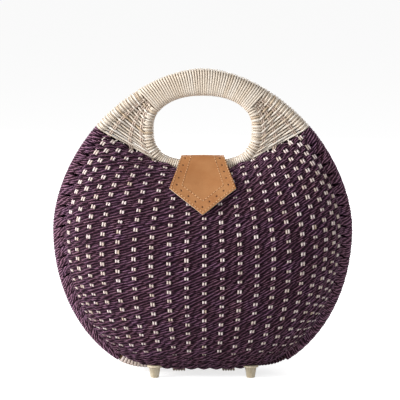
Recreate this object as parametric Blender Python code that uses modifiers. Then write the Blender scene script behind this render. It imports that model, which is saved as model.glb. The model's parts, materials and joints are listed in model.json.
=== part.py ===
"""A round clamshell basket bag: two woven half shells, lashed together along the bottom.

Each half has a cane rim, an oval handle ring under the top of the rim, a bulging woven
shell, a fabric lining and two feet. A leather flap folds over both rings and closes the bag.
Lengths are in metres. X runs to the right, -Y to the front, +Z up, and the feet stand on Z = 0.
"""

import math

import bmesh
import bpy
import numpy as np

# Rim: the outline of each half, on the centre line of its cane; drops are measured down from its top
RIM_HALF_WIDTH = 0.1448
RIM_TOP_HEIGHT = 0.3005
RIM_WIDEST_HEIGHT = 0.1462
RIM_LOWER_REACH = 0.1490
RIM_BOTTOM_HEIGHT = 0.0100
RIM_FLATTENING = 0.0030
RIM_UPPER_WIDTH_POWER = 1.75
RIM_UPPER_HEIGHT_POWER = 1.80
RIM_LOWER_WIDTH_POWER = 2.48
RIM_LOWER_HEIGHT_POWER = 2.02
RIM_CORE_RADIUS = 0.0032
RIM_WRAP_RADIUS = 0.0060
RIM_OFFSET = 0.0066
WRAP_END_GAP = 0.0022
ARCH_END_HALF_WIDTH = 0.0600
WEAVE_CORNER_DROP = 0.0550
WEAVE_CORNER_HEIGHT = RIM_TOP_HEIGHT - WEAVE_CORNER_DROP
HINGE_WRAP_HALF_WIDTH = 0.0820

# Handle ring: the oval opening for the hand; the shell's, flap's and magnet's drops start at its centre
RING_HALF_WIDTH = 0.0550
RING_HALF_HEIGHT = 0.0386
RING_CENTRE_DROP = 0.0530
RING_CENTRE_HEIGHT = RIM_TOP_HEIGHT - RING_CENTRE_DROP
RING_UPPER_POWER = 2.2
RING_LOWER_POWER = 2.8
RING_CORE_RADIUS = 0.0032
RING_WRAP_RADIUS = 0.0060
RING_ARCH_END_HALF_WIDTH = 0.0480

# Windings of cane over the handle arch, one unbroken strand a half
ARCH_STRAND_RADIUS = 0.0012
ARCH_LOOPS = 20
ARCH_STRAND_CLEARANCE = 0.0007
POINTS_PER_BEND = 5

# Lashings: the two hinges along the bottom
LASHING_PLACE = 0.0250
LASHING_STRAND_RADIUS = 0.0010
LASHING_PITCH = 0.0032
LASHING_LOOPS = 4
LASHING_CLEARANCE = 0.0010
NOTCH_CLEARANCE = 0.0006

# Woven shell, measured on the middle of its thickness
SHELL_DEPTH = 0.0610
SHELL_DEEPEST_DROP = 0.1355
SHELL_DEEPEST_HEIGHT = RING_CENTRE_HEIGHT - SHELL_DEEPEST_DROP
SHELL_THICKNESS = 0.0040
SHELL_UPPER_POWER = 1.6
SHELL_LOWER_POWER = 3.3
SHELL_SIDE_POWER = 2.2
SHELL_BOTTOM_HALF_WIDTH = 0.0900
SHELL_SIDE_SEAT_DEGREES = 40.0
SHELL_BOTTOM_SEAT_DEGREES = 100.0
ROW_TOP_POWER = 1.55
ROW_BOTTOM_POWER = 4.00
ROW_CHANGE_POWER = 2.0
SHELL_COLUMNS = 14
SHELL_ROWS = 12

# Corner panels, between the ring and the rim on both sides of the handle arch
PANEL_THICKNESS = 0.0036
PANEL_BULGE = 0.0030
PANEL_GAP = 0.0014
PANEL_EDGE_GAP = 0.0012
PANEL_RING_END_HALF_WIDTH = 0.0450
PANEL_COLUMNS = 4
PANEL_ROWS = 6

# Lining and the folded side gussets
LINING_THICKNESS = 0.0012
LINING_GAP = 0.0008
GUSSET_TOP_DROP = 0.1005
GUSSET_TOP_HEIGHT = RIM_TOP_HEIGHT - GUSSET_TOP_DROP
GUSSET_BOTTOM_HEIGHT = 0.0450
GUSSET_EDGE_OFFSET = 0.0042
GUSSET_FOLD_WIDTH = 0.0240
GUSSET_THICKNESS = 0.0030
GUSSET_ROWS = 12

# Leather flap, a backing layer under an outer one, and the tab behind the back ring
FLAP_TOP_HALF_WIDTH = 0.0216
FLAP_CORNER_HALF_WIDTH = 0.0330
FLAP_CORNER_DROP = 0.0583
FLAP_CORNER_HEIGHT = RING_CENTRE_HEIGHT - FLAP_CORNER_DROP
FLAP_TIP_DROP = 0.0815
FLAP_TIP_HEIGHT = RING_CENTRE_HEIGHT - FLAP_TIP_DROP
FLAP_BACKING_THICKNESS = 0.0012
FLAP_OUTER_THICKNESS = 0.0014
FLAP_LAYER_GAP = 0.0003
FLAP_RING_CLEARANCE = 0.0017
FLAP_SHELL_CLEARANCE = 0.0023
FLAP_FOLD_GAP = 0.0018
FLAP_CONTACT_ROW_SHARE = 0.10
FLAP_ROW_STEP_SHARE = 0.01
FLAP_WIDENING_POWER = 1.2
TAB_LENGTH = 0.0300
FLAP_COLUMNS = 6
FLAP_ROWS = 12
TAB_ROWS = 8

# Magnetic closure: a disc in the flap's backing and a plate on the front shell
MAGNET_RADIUS = 0.0070
MAGNET_DROP = 0.0665
MAGNET_HEIGHT = RING_CENTRE_HEIGHT - MAGNET_DROP
MAGNET_HOLE_CLEARANCE = 0.0004
PLATE_RADIUS = 0.0075
PLATE_THICKNESS = 0.0014
MAGNET_SIDES = 16

# Feet
FOOT_ACROSS = 0.0480
FOOT_OUT = 0.0360
FOOT_FLANGE_RADIUS = 0.0075
FOOT_FLANGE_THICKNESS = 0.0022
FOOT_TOP_RADIUS = 0.0050
FOOT_BOTTOM_RADIUS = 0.0038
FOOT_BLANK_HEIGHT = 0.0300
FOOT_SIDES = 16

# Clearance between pieces that touch
TOUCH_GAP = 0.0003
MERGE_DISTANCE = 0.00005

# Fineness of the working curves
SAMPLES = 721
RIM_POINT_SPACING = 0.0200
RING_POINT_SPACING = 0.0125
TUBE_RESOLUTION = 2
STRAND_RESOLUTION = 1

LEFT, RIGHT = -1.0, 1.0
FRONT, BACK = -1.0, 1.0


def clear_scene():
    """Remove what the scene holds, and make the collections of the pieces and of the cutters."""
    for item in list(bpy.data.objects):
        bpy.data.objects.remove(item)
    made = []
    for name in ("shell_basket_bag", "cutters"):
        collection = bpy.data.collections.new(name)
        bpy.context.scene.collection.children.link(collection)
        made.append(collection)
    return made


PIECES, CUTTERS = clear_scene()


def material(name, colour, roughness, metallic=0.0):
    """A plain surface of one colour."""
    made = bpy.data.materials.new(name)
    made.use_nodes = True
    shader = made.node_tree.nodes["Principled BSDF"]
    shader.inputs["Base Color"].default_value = (*colour, 1.0)
    shader.inputs["Roughness"].default_value = roughness
    shader.inputs["Metallic"].default_value = metallic
    return made


PLUM_CORD = material("plum_cord", (0.110, 0.042, 0.100), 0.75)
NATURAL_CANE = material("natural_cane", (0.780, 0.690, 0.550), 0.60)
CANE_CORE = material("cane_core", (0.560, 0.410, 0.250), 0.70)
TAN_LEATHER = material("tan_leather", (0.560, 0.290, 0.120), 0.45)
LINING_CLOTH = material("lining_cloth", (0.050, 0.022, 0.045), 0.90)
FOOT_WOOD = material("foot_wood", (0.800, 0.740, 0.620), 0.50)
MAGNET_METAL = material("magnet_metal", (0.620, 0.600, 0.560), 0.30, 1.0)


def place(item, surface, collection=PIECES):
    """Link an object and give it its material."""
    collection.objects.link(item)
    item.data.materials.append(surface)
    return item


def hide_cutter(item):
    """Show a cutter as wires only, and leave it out of renders."""
    item.hide_render = True
    item.display_type = "WIRE"
    return item


def cut(item, cutter):
    """Take a cutter's volume out of an object."""
    step = item.modifiers.new("cut_" + cutter.name, "BOOLEAN")
    step.operation = "DIFFERENCE"
    step.object = cutter


def running_length(points):
    """Length along a polyline at each of its points."""
    steps = np.linalg.norm(np.diff(points, axis=0), axis=1)
    return np.concatenate([[0.0], np.cumsum(steps)])


def points_at(points, lengths):
    """Points of a polyline at the given lengths along it."""
    reach = running_length(points)
    return np.stack([np.interp(lengths, reach, column) for column in points.T], axis=-1)


def rim_half():
    """Right half of the rim's centre line as (x, z), from its top to its bottom.

    |x / a|^p + |(z - zc) / b|^q = 1, with a soft flat stretch at the bottom.
    """
    turn = np.linspace(math.pi / 2, -math.pi / 2, SAMPLES)
    upper = turn > 0
    width_power = np.where(upper, RIM_UPPER_WIDTH_POWER, RIM_LOWER_WIDTH_POWER)
    height_power = np.where(upper, RIM_UPPER_HEIGHT_POWER, RIM_LOWER_HEIGHT_POWER)
    reach = np.where(upper, RIM_TOP_HEIGHT - RIM_WIDEST_HEIGHT, RIM_LOWER_REACH)
    x = RIM_HALF_WIDTH * np.clip(np.cos(turn), 0, 1) ** (2 / width_power)
    z = RIM_WIDEST_HEIGHT + reach * np.sign(turn) * np.abs(np.sin(turn)) ** (2 / height_power)
    above = (z - RIM_BOTTOM_HEIGHT) / RIM_FLATTENING
    z = RIM_BOTTOM_HEIGHT + RIM_FLATTENING * np.logaddexp(0, above)
    return np.stack([x, z], axis=-1)


def ring_half():
    """Right half of the handle ring's centre line as (x, z), from its top to its bottom."""
    turn = np.linspace(math.pi / 2, -math.pi / 2, SAMPLES)
    share = 2 / np.where(turn > 0, RING_UPPER_POWER, RING_LOWER_POWER)
    x = RING_HALF_WIDTH * np.clip(np.cos(turn), 0, 1) ** share
    z = RING_CENTRE_HEIGHT + RING_HALF_HEIGHT * np.sign(turn) * np.abs(np.sin(turn)) ** share
    return np.stack([x, z], axis=-1)


RIM = rim_half()
RING = ring_half()
RIM_LENGTH = running_length(RIM)[-1]
RING_LENGTH = running_length(RING)[-1]


def length_at_height(half, height):
    """Length from a half outline's top down to a height."""
    return float(np.interp(-height, -half[:, 1], running_length(half)))


def length_at_width(half, width, lower):
    """Length from a half outline's top to a half width, above or below its widest place."""
    widest = int(np.argmax(half[:, 0]))
    reach = running_length(half)
    if lower:
        return float(np.interp(-width, -half[widest:, 0], reach[widest:]))
    return float(np.interp(width, half[: widest + 1, 0], reach[: widest + 1]))


RIM_ARCH_END = length_at_width(RIM, ARCH_END_HALF_WIDTH, lower=False)
RIM_WEAVE_START = length_at_height(RIM, WEAVE_CORNER_HEIGHT)
RIM_WEAVE_END = length_at_width(RIM, HINGE_WRAP_HALF_WIDTH, lower=True)
RING_ARCH_END = length_at_width(RING, RING_ARCH_END_HALF_WIDTH, lower=False)
RING_PANEL_END = length_at_width(RING, PANEL_RING_END_HALF_WIDTH, lower=True)


def outline(half, lengths):
    """Points of a closed outline. A length is positive to the right of the top, negative to the left."""
    lengths = np.asarray(lengths, dtype=float)
    found = points_at(half, np.abs(lengths))
    found[..., 0] *= np.where(lengths < 0, LEFT, RIGHT)
    return found


def inward(half, lengths):
    """Unit directions from a half outline towards the inside of its oval, on the right side."""
    step = running_length(half)[-1] / SAMPLES
    total = running_length(half)[-1]
    before = points_at(half, np.clip(lengths - step, 0, total))
    after = points_at(half, np.clip(lengths + step, 0, total))
    along = (after - before) / np.linalg.norm(after - before, axis=-1, keepdims=True)
    return np.stack([along[..., 1], -along[..., 0]], axis=-1)


def stand(points, depth):
    """Set flat (x, z) points up at a depth: (x, y, z)."""
    points = np.asarray(points)
    depth = np.broadcast_to(depth, points.shape[:-1])
    return np.stack([points[..., 0], depth, points[..., 1]], axis=-1)


def tube(name, points, radius, surface, closed=False, resolution=TUBE_RESOLUTION, filled=True):
    """A round rod along a route."""
    data = bpy.data.curves.new(name, "CURVE")
    data.dimensions = "3D"
    data.bevel_depth = radius
    data.bevel_resolution = resolution
    data.use_fill_caps = filled and not closed
    line = data.splines.new("POLY")
    line.points.add(len(points) - 1)
    for spot, point in zip(line.points, points):
        spot.co = (*point, 1.0)
    line.use_cyclic_u = closed
    line.use_smooth = True
    return place(bpy.data.objects.new(name, data), surface)


def sleeve(name, points, radius, wall, surface):
    """A tube with a bore, such as cord wound closely round a rod."""
    made = tube(name, points, radius, surface, filled=False)
    skin = made.modifiers.new("wall", "SOLIDIFY")
    skin.thickness = wall
    skin.offset = -1.0
    return made


def sheet(name, grid, thickness, surface, collection=PIECES, offset=0.0):
    """A sheet of even thickness over a grid of points."""
    columns, rows = grid.shape[0] - 1, grid.shape[1] - 1
    made = bmesh.new()
    bmesh.ops.create_grid(made, x_segments=columns, y_segments=rows, size=1.0)
    for corner in made.verts:
        i = round((corner.co.x + 1) / 2 * columns)
        j = round((corner.co.y + 1) / 2 * rows)
        corner.co = grid[i, j]
    data = bpy.data.meshes.new(name)
    made.to_mesh(data)
    made.free()
    data.shade_smooth()
    item = place(bpy.data.objects.new(name, data), surface, collection)
    skin = item.modifiers.new("thickness", "SOLIDIFY")
    skin.thickness = thickness
    skin.offset = offset
    return item


def disc(name, centre, normal, radius, thickness, surface, collection=PIECES):
    """A round plate, with its middle at a point and its axis along a direction."""
    made = bmesh.new()
    bmesh.ops.create_cone(
        made, cap_ends=True, segments=MAGNET_SIDES, radius1=radius, radius2=radius, depth=thickness
    )
    data = bpy.data.meshes.new(name)
    made.to_mesh(data)
    made.free()
    item = place(bpy.data.objects.new(name, data), surface, collection)
    tilt = math.atan2(normal[0], normal[1])
    item.rotation_euler = (-tilt, 0, 0)
    item.location = (0, centre[0], centre[1])
    return item


def wound_strand(first, second, radius, starts, loops):
    """Route of a strand wound round a pair of rods that run side by side.

    first(t) and second(t) give the rods' middles for t from 0 to 1, and starts is the
    direction square to both. Each loop is two half circles, one round each rod.
    """
    count = loops * 2 * POINTS_PER_BEND + 1
    route = []
    for number in range(count):
        t = number / (count - 1)
        near, far = first(t), second(t)
        across = (far - near) / np.linalg.norm(far - near)
        step = number % (2 * POINTS_PER_BEND)
        round_far = step < POINTS_PER_BEND
        turn = (step % POINTS_PER_BEND) / (POINTS_PER_BEND - 1) - 1 / 2
        side = 1.0 if round_far else -1.0
        middle = far if round_far else near
        out = across * math.cos(turn * math.pi) + starts * math.sin(turn * math.pi)
        route.append(middle + side * radius * out)
    return np.array(route)


def report_gap(name, route, radius, per_loop):
    """Measure and print how close a wound strand comes to itself."""
    fine = points_at(route, np.linspace(0, running_length(route)[-1], len(route) * 4))
    apart = np.linalg.norm(fine[:, None] - fine[None], axis=-1)
    order = np.arange(len(fine))
    far_along = np.abs(order[:, None] - order[None]) > per_loop * 2
    least = apart[far_along].min() - 2 * radius
    print(f"{name}: least gap of the strand to itself {least * 1000:.2f} mm")


def spread(start, end, spacing):
    """Lengths from one to another, about a spacing apart."""
    return np.linspace(start, end, max(2, round(abs(end - start) / spacing) + 1))


RIM_SPANS = {
    "arch": spread(0, RIM_ARCH_END, RIM_POINT_SPACING),
    "corner": spread(RIM_ARCH_END, RIM_WEAVE_START, RIM_POINT_SPACING),
    "flank": spread(RIM_WEAVE_START, RIM_WEAVE_END, RIM_POINT_SPACING),
    "under": spread(RIM_WEAVE_END, RIM_LENGTH, RIM_POINT_SPACING),
}
RING_SPANS = {
    "arch": spread(0, RING_ARCH_END, RING_POINT_SPACING),
    "around": spread(RING_ARCH_END, RING_LENGTH, RING_POINT_SPACING),
}


def round_the_bottom(lengths):
    """Lengths from the right side of an outline, through its bottom, to the left side."""
    return np.concatenate([lengths, -lengths[-2::-1]])


def cores(side, prefix):
    """The two cane rods of a half: the rim and the handle ring."""
    for name, half, spans, radius in (
        ("rim_core", RIM, RIM_SPANS, RIM_CORE_RADIUS),
        ("ring_core", RING, RING_SPANS, RING_CORE_RADIUS),
    ):
        lengths = np.unique(np.concatenate(list(spans.values())))
        route = stand(outline(half, round_the_bottom(lengths)[:-1]), side * RIM_OFFSET)
        tube(prefix + name, route, radius, CANE_CORE, closed=True, resolution=STRAND_RESOLUTION)


def trimmed(lengths, start_gap, end_gap):
    """A span's lengths, with its ends drawn in."""
    drawn = lengths.copy()
    drawn[0] += start_gap
    drawn[-1] -= end_gap
    return drawn


WINDING_END = 2 * ARCH_STRAND_RADIUS + TOUCH_GAP


def rim_wraps(side, prefix):
    """The cord and cane wound along the rim: plum at the sides, natural cane elsewhere."""
    wall = RIM_WRAP_RADIUS - RIM_CORE_RADIUS - 2 * TOUCH_GAP
    corner = trimmed(RIM_SPANS["corner"], WINDING_END, WRAP_END_GAP)
    for word, hand in (("left", LEFT), ("right", RIGHT)):
        for name, lengths, surface in (
            ("rim_corner_wrap_", corner, NATURAL_CANE),
            ("rim_wrap_", RIM_SPANS["flank"], PLUM_CORD),
        ):
            route = stand(outline(RIM, hand * lengths), side * RIM_OFFSET)
            sleeve(prefix + name + word, route, RIM_WRAP_RADIUS, wall, surface)
    under = round_the_bottom(trimmed(RIM_SPANS["under"], WRAP_END_GAP, 0))
    route = stand(outline(RIM, under), side * RIM_OFFSET)
    sleeve(prefix + "rim_wrap_bottom", route, RIM_WRAP_RADIUS, wall, NATURAL_CANE)


def ring_wrap(side, prefix):
    """The cane wound along the sides and the bottom of the handle ring."""
    wall = RING_WRAP_RADIUS - RING_CORE_RADIUS - 2 * TOUCH_GAP
    around = round_the_bottom(trimmed(RING_SPANS["around"], WINDING_END, 0))
    route = stand(outline(RING, around), side * RIM_OFFSET)
    sleeve(prefix + "ring_wrap", route, RING_WRAP_RADIUS, wall, NATURAL_CANE)


def handle_winding(side, prefix):
    """The strand that binds the rim and the ring together into the handle arch."""

    def on_ring(t):
        return stand(outline(RING, (2 * t - 1) * RING_ARCH_END), side * RIM_OFFSET)

    def on_rim(t):
        return stand(outline(RIM, (2 * t - 1) * RIM_ARCH_END), side * RIM_OFFSET)

    radius = RIM_CORE_RADIUS + ARCH_STRAND_CLEARANCE + ARCH_STRAND_RADIUS
    outward = np.array([0.0, side, 0.0])
    route = wound_strand(on_ring, on_rim, radius, outward, ARCH_LOOPS)
    name = prefix + "handle_winding"
    tube(name, route, ARCH_STRAND_RADIUS, NATURAL_CANE, resolution=STRAND_RESOLUTION)
    report_gap(name, route, ARCH_STRAND_RADIUS, 2 * POINTS_PER_BEND)


LASHING_LENGTH = LASHING_LOOPS * LASHING_PITCH
HINGE_HEIGHT = float(points_at(RIM, RIM_LENGTH - LASHING_PLACE)[1])


def lashings():
    """The two bindings round both rims, on which the front half turns."""
    radius = RIM_WRAP_RADIUS + LASHING_CLEARANCE + LASHING_STRAND_RADIUS
    for word, hand in (("left", LEFT), ("right", RIGHT)):
        start = hand * LASHING_PLACE - LASHING_LENGTH / 2

        def rod(t, side, start=start):
            return np.array([start + t * LASHING_LENGTH, side * RIM_OFFSET, HINGE_HEIGHT])

        route = wound_strand(
            lambda t: rod(t, FRONT), lambda t: rod(t, BACK), radius, np.array([0.0, 0.0, 1.0]), LASHING_LOOPS
        )
        name = "hinge_lashing_" + word
        tube(name, route, LASHING_STRAND_RADIUS, NATURAL_CANE, resolution=STRAND_RESOLUTION)
        report_gap(name, route, LASHING_STRAND_RADIUS, 2 * POINTS_PER_BEND)


def notch_cutters():
    """Rods that clear the woven shells of the lashings."""
    radius = RIM_WRAP_RADIUS + LASHING_CLEARANCE + 2 * LASHING_STRAND_RADIUS + NOTCH_CLEARANCE
    width = LASHING_LENGTH + 2 * LASHING_STRAND_RADIUS + 2 * NOTCH_CLEARANCE
    made = {}
    for side in (FRONT, BACK):
        for hand in (LEFT, RIGHT):
            shape = bmesh.new()
            bmesh.ops.create_cone(
                shape, cap_ends=True, segments=MAGNET_SIDES, radius1=radius, radius2=radius, depth=width
            )
            name = f"notch_{'front' if side == FRONT else 'back'}_{'left' if hand == LEFT else 'right'}"
            data = bpy.data.meshes.new(name)
            shape.to_mesh(data)
            shape.free()
            item = hide_cutter(place(bpy.data.objects.new(name, data), NATURAL_CANE, CUTTERS))
            item.rotation_euler = (0, math.pi / 2, 0)
            item.location = (hand * LASHING_PLACE, side * RIM_OFFSET, HINGE_HEIGHT)
            made[side, hand] = item
    return made


SEAT_RADIUS = RIM_WRAP_RADIUS + TOUCH_GAP + SHELL_THICKNESS / 2


def middle_row_profile():
    """The shell's middle stake as (depth, height), from the ring to the rim, evenly spaced."""
    lean = math.radians(SHELL_BOTTOM_SEAT_DEGREES)
    ring_bottom = RING_CENTRE_HEIGHT - RING_HALF_HEIGHT
    half_turn = SEAT_RADIUS * math.sqrt(1 / 2)
    top = np.array([RIM_OFFSET + half_turn, ring_bottom - half_turn])
    bottom_depth = RIM_OFFSET + SEAT_RADIUS * math.sin(lean)
    bottom_height = RIM_BOTTOM_HEIGHT + SEAT_RADIUS * math.cos(lean)
    turn = np.linspace(0, math.pi, SAMPLES)
    upper = turn < math.pi / 2
    share = np.where(upper, 2 / SHELL_UPPER_POWER, 2 / SHELL_LOWER_POWER)
    out = np.clip(np.sin(turn), 0, 1) ** share
    rise = np.sign(np.cos(turn)) * np.abs(np.cos(turn)) ** share
    start = np.where(upper, top[0], bottom_depth)
    depth = start + (SHELL_DEPTH - start) * out
    span = np.where(upper, top[1] - SHELL_DEEPEST_HEIGHT, SHELL_DEEPEST_HEIGHT - bottom_height)
    return np.stack([depth, SHELL_DEEPEST_HEIGHT + span * rise], axis=-1)


MIDDLE = middle_row_profile()
MIDDLE_LENGTH = running_length(MIDDLE)[-1]
SHELL_RIM_END = length_at_width(RIM, SHELL_BOTTOM_HALF_WIDTH, lower=True)


def shell_surface(across, rows, side):
    """Middle surface of the woven shell at shares across (-1 to 1) and down (0 to 1).

    A row runs from rim to rim. Its x is a share s of the row's half width, its height
    goes with |s|^e from the middle stake to the rim, and its depth with (1 - |s|^p)^(1/p).
    """
    rim_length = RIM_WEAVE_START + rows * (SHELL_RIM_END - RIM_WEAVE_START)
    seat = math.radians(SHELL_SIDE_SEAT_DEGREES)
    on_rim = points_at(RIM, rim_length) + SEAT_RADIUS * math.cos(seat) * inward(RIM, rim_length)
    edge_depth = RIM_OFFSET + SEAT_RADIUS * math.sin(seat)
    middle = points_at(MIDDLE, rows * MIDDLE_LENGTH)
    power = ROW_TOP_POWER + (ROW_BOTTOM_POWER - ROW_TOP_POWER) * rows**ROW_CHANGE_POWER
    share = np.abs(across)
    height = middle[..., 1] + (on_rim[..., 1] - middle[..., 1]) * share**power
    fullness = np.clip(1 - share**SHELL_SIDE_POWER, 0, 1) ** (1 / SHELL_SIDE_POWER)
    depth = edge_depth + (middle[..., 0] - edge_depth) * fullness
    return np.stack([across * on_rim[..., 0], side * depth, height], axis=-1)


def shell_grid(side):
    """The shell's grid of points and outward unit normals, columns first."""
    turn = np.linspace(-math.pi / 2, math.pi / 2, SHELL_COLUMNS + 1)
    across, rows = np.meshgrid(np.sin(turn), np.linspace(0, 1, SHELL_ROWS + 1), indexing="ij")
    points = shell_surface(across, rows, side)
    along = np.gradient(points, axis=0)
    down = np.gradient(points, axis=1)
    normals = np.cross(along, down) * -side
    normals /= np.linalg.norm(normals, axis=-1, keepdims=True)
    normals *= np.where(normals[..., 1:2] * side < 0, -1.0, 1.0)
    return points, normals


def woven_shell(side, prefix, notches):
    """The bulging basketwork of a half, cleared for the lashings."""
    points, _ = shell_grid(side)
    made = sheet(prefix + "woven_shell", points, SHELL_THICKNESS, PLUM_CORD)
    for hand in (LEFT, RIGHT):
        cut(made, notches[side, hand])


def lining(side, prefix):
    """The cloth inside a half, a little smaller than the basketwork."""
    points, normals = shell_grid(side)
    inset = SHELL_THICKNESS / 2 + LINING_GAP + LINING_THICKNESS / 2
    inner = (points - inset * normals)[1:-1, 1:-1]
    sheet(prefix + "lining", inner, LINING_THICKNESS, LINING_CLOTH)


def corner_panels(side, prefix):
    """The natural cane panels beside the handle, from the ring to the rim."""
    reach = RIM_WRAP_RADIUS + PANEL_EDGE_GAP
    down = np.linspace(0, 1, PANEL_ROWS + 1)
    start = RIM_ARCH_END + WINDING_END
    rim_lengths = start + down * (RIM_WEAVE_START - PANEL_GAP - start)
    ring_start = RING_ARCH_END + WINDING_END
    ring_lengths = ring_start + down * (RING_PANEL_END - PANEL_GAP - ring_start)
    on_rim = points_at(RIM, rim_lengths) + reach * inward(RIM, rim_lengths)
    on_ring = points_at(RING, ring_lengths) - reach * inward(RING, ring_lengths)
    over = np.linspace(0, 1, PANEL_COLUMNS + 1)[:, None, None]
    flat = on_ring[None] * (1 - over) + on_rim[None] * over
    depth = RIM_OFFSET + PANEL_BULGE * np.sin(over[..., 0] * math.pi)
    for word, hand in (("left", LEFT), ("right", RIGHT)):
        grid = stand(flat * np.array([hand, 1.0]), side * np.broadcast_to(depth, flat.shape[:-1]))
        sheet(prefix + "corner_panel_" + word, grid, PANEL_THICKNESS, NATURAL_CANE)


def gussets():
    """The cloth at each side, folded flat between the two rims while the bag is shut."""
    lengths = np.linspace(
        length_at_height(RIM, GUSSET_TOP_HEIGHT), length_at_height(RIM, GUSSET_BOTTOM_HEIGHT), GUSSET_ROWS + 1
    )
    edge = points_at(RIM, lengths) + GUSSET_EDGE_OFFSET * inward(RIM, lengths)
    fold = edge + GUSSET_FOLD_WIDTH * inward(RIM, lengths)
    flat = np.stack([edge, fold], axis=0)
    for word, hand in (("left", LEFT), ("right", RIGHT)):
        sheet("gusset_" + word, stand(flat * np.array([hand, 1.0]), 0.0), GUSSET_THICKNESS, LINING_CLOTH)


def shell_slice(side, across, lift):
    """Upper half of a shell cut at one x, seen from the side as (y, z), lifted off its middle."""
    rows = FLAP_CONTACT_ROW_SHARE + spread(0, 1 / 2 - FLAP_CONTACT_ROW_SHARE, FLAP_ROW_STEP_SHARE)
    edge = shell_surface(np.ones_like(rows), rows, side)
    points = shell_surface(across / edge[:, 0], rows, side)[:, 1:]
    along = np.gradient(points, axis=0)
    along /= np.linalg.norm(along, axis=-1, keepdims=True)
    out = np.stack([-side * along[:, 1], side * along[:, 0]], axis=-1)
    return points + lift * out


def over_the_ring(side, across, clearance):
    """A layer of leather seen from the side as (y, z): over a ring, then down a shell."""
    radius = RING_WRAP_RADIUS + FLAP_RING_CLEARANCE + clearance
    centre = np.array([side * RIM_OFFSET, RING_CENTRE_HEIGHT - RING_HALF_HEIGHT])
    down = shell_slice(side, across, SHELL_THICKNESS / 2 + FLAP_SHELL_CLEARANCE + clearance)
    away = down[0] - centre
    lean = math.atan2(side * away[0], away[1])
    leave = lean - math.acos(radius / np.linalg.norm(away))
    turn = np.linspace(0, leave, FLAP_ROWS * 2)
    bend = centre + radius * np.stack([side * np.sin(turn), np.cos(turn)], axis=-1)
    return np.concatenate([bend, down])


def flap_profile(across, clearance):
    """A layer of the flap at one x, from the fold over the back ring to the front."""
    front = over_the_ring(FRONT, across, clearance)
    fold = np.array([[RIM_OFFSET - FLAP_FOLD_GAP, front[0, 1]]])
    return np.concatenate([fold, front])


def flap_lengths(clearance):
    """Lengths along the middle of a flap layer to its ring, its corners and its point."""
    profile = flap_profile(0.0, clearance)
    reach = running_length(profile)
    front = profile[:, 0] < -RIM_OFFSET
    corner, tip = np.interp([-FLAP_CORNER_HEIGHT, -FLAP_TIP_HEIGHT], -profile[front, 1], reach[front])
    return float(reach[front][0]), float(corner), float(tip)


def flap_grid(clearance):
    """A layer of the flap: a strap that widens to two corners and ends in a point."""
    fold, corner, tip = flap_lengths(clearance)
    grid = []
    for share in np.linspace(-1, 1, FLAP_COLUMNS + 1):
        end = tip - (tip - corner) * abs(share)
        column = []
        for length in np.linspace(0, end, FLAP_ROWS + 1):
            widening = min(max((length - fold) / (corner - fold), 0), 1) ** FLAP_WIDENING_POWER
            x = share * (FLAP_TOP_HALF_WIDTH + (FLAP_CORNER_HALF_WIDTH - FLAP_TOP_HALF_WIDTH) * widening)
            column.append((x, *points_at(flap_profile(x, clearance), length)))
        grid.append(column)
    return np.array(grid)


BACKING_MIDDLE = FLAP_BACKING_THICKNESS / 2
OUTER_MIDDLE = FLAP_BACKING_THICKNESS + FLAP_LAYER_GAP + FLAP_OUTER_THICKNESS / 2


def magnet_place(clearance):
    """Middle and outward direction, as (y, z), of a disc under the flap's point."""
    profile = flap_profile(0.0, clearance)
    front = profile[:, 0] < -RIM_OFFSET
    length = float(np.interp(-MAGNET_HEIGHT, -profile[front, 1], running_length(profile)[front]))
    before, after = points_at(profile, length - MAGNET_RADIUS), points_at(profile, length + MAGNET_RADIUS)
    along = (after - before) / np.linalg.norm(after - before)
    return points_at(profile, length), np.array([along[1], -along[0]])


def flap():
    """The two layers of leather, with a magnet set into the backing."""
    sheet("flap_outer", flap_grid(OUTER_MIDDLE), FLAP_OUTER_THICKNESS, TAN_LEATHER)
    backing = sheet("flap_backing", flap_grid(BACKING_MIDDLE), FLAP_BACKING_THICKNESS, TAN_LEATHER)
    centre, normal = magnet_place(BACKING_MIDDLE)
    disc("flap_magnet", centre, normal, MAGNET_RADIUS, FLAP_BACKING_THICKNESS, MAGNET_METAL)
    hole = disc(
        "magnet_hole",
        centre,
        normal,
        MAGNET_RADIUS + MAGNET_HOLE_CLEARANCE,
        FLAP_BACKING_THICKNESS + FLAP_LAYER_GAP,
        MAGNET_METAL,
        CUTTERS,
    )
    cut(backing, hide_cutter(hole))
    seat = TOUCH_GAP + PLATE_THICKNESS / 2 - FLAP_SHELL_CLEARANCE
    under, facing = magnet_place(seat)
    disc("front_magnet_plate", under, facing, PLATE_RADIUS, PLATE_THICKNESS, MAGNET_METAL)


def back_tab():
    """The leather behind the back ring that the flap folds from."""
    begin = FLAP_FOLD_GAP
    grid = []
    for x in np.linspace(-FLAP_TOP_HALF_WIDTH, FLAP_TOP_HALF_WIDTH, FLAP_COLUMNS + 1):
        profile = over_the_ring(BACK, x, (FLAP_BACKING_THICKNESS + FLAP_OUTER_THICKNESS) / 2)
        side_view = points_at(profile, np.linspace(begin, begin + TAB_LENGTH, TAB_ROWS + 1))
        grid.append([(x, y, z) for y, z in side_view])
    sheet("back_tab", np.array(grid), FLAP_BACKING_THICKNESS + FLAP_OUTER_THICKNESS, TAN_LEATHER)


def shell_cutter(side, prefix):
    """A thick copy of the shell's outside, which gives the feet their curved tops."""
    points, normals = shell_grid(side)
    clear = (points + (SHELL_THICKNESS / 2 + TOUCH_GAP - FOOT_BLANK_HEIGHT / 2) * normals)
    item = sheet(prefix + "seat", clear, FOOT_BLANK_HEIGHT, FOOT_WOOD, CUTTERS)
    return hide_cutter(item)


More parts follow.
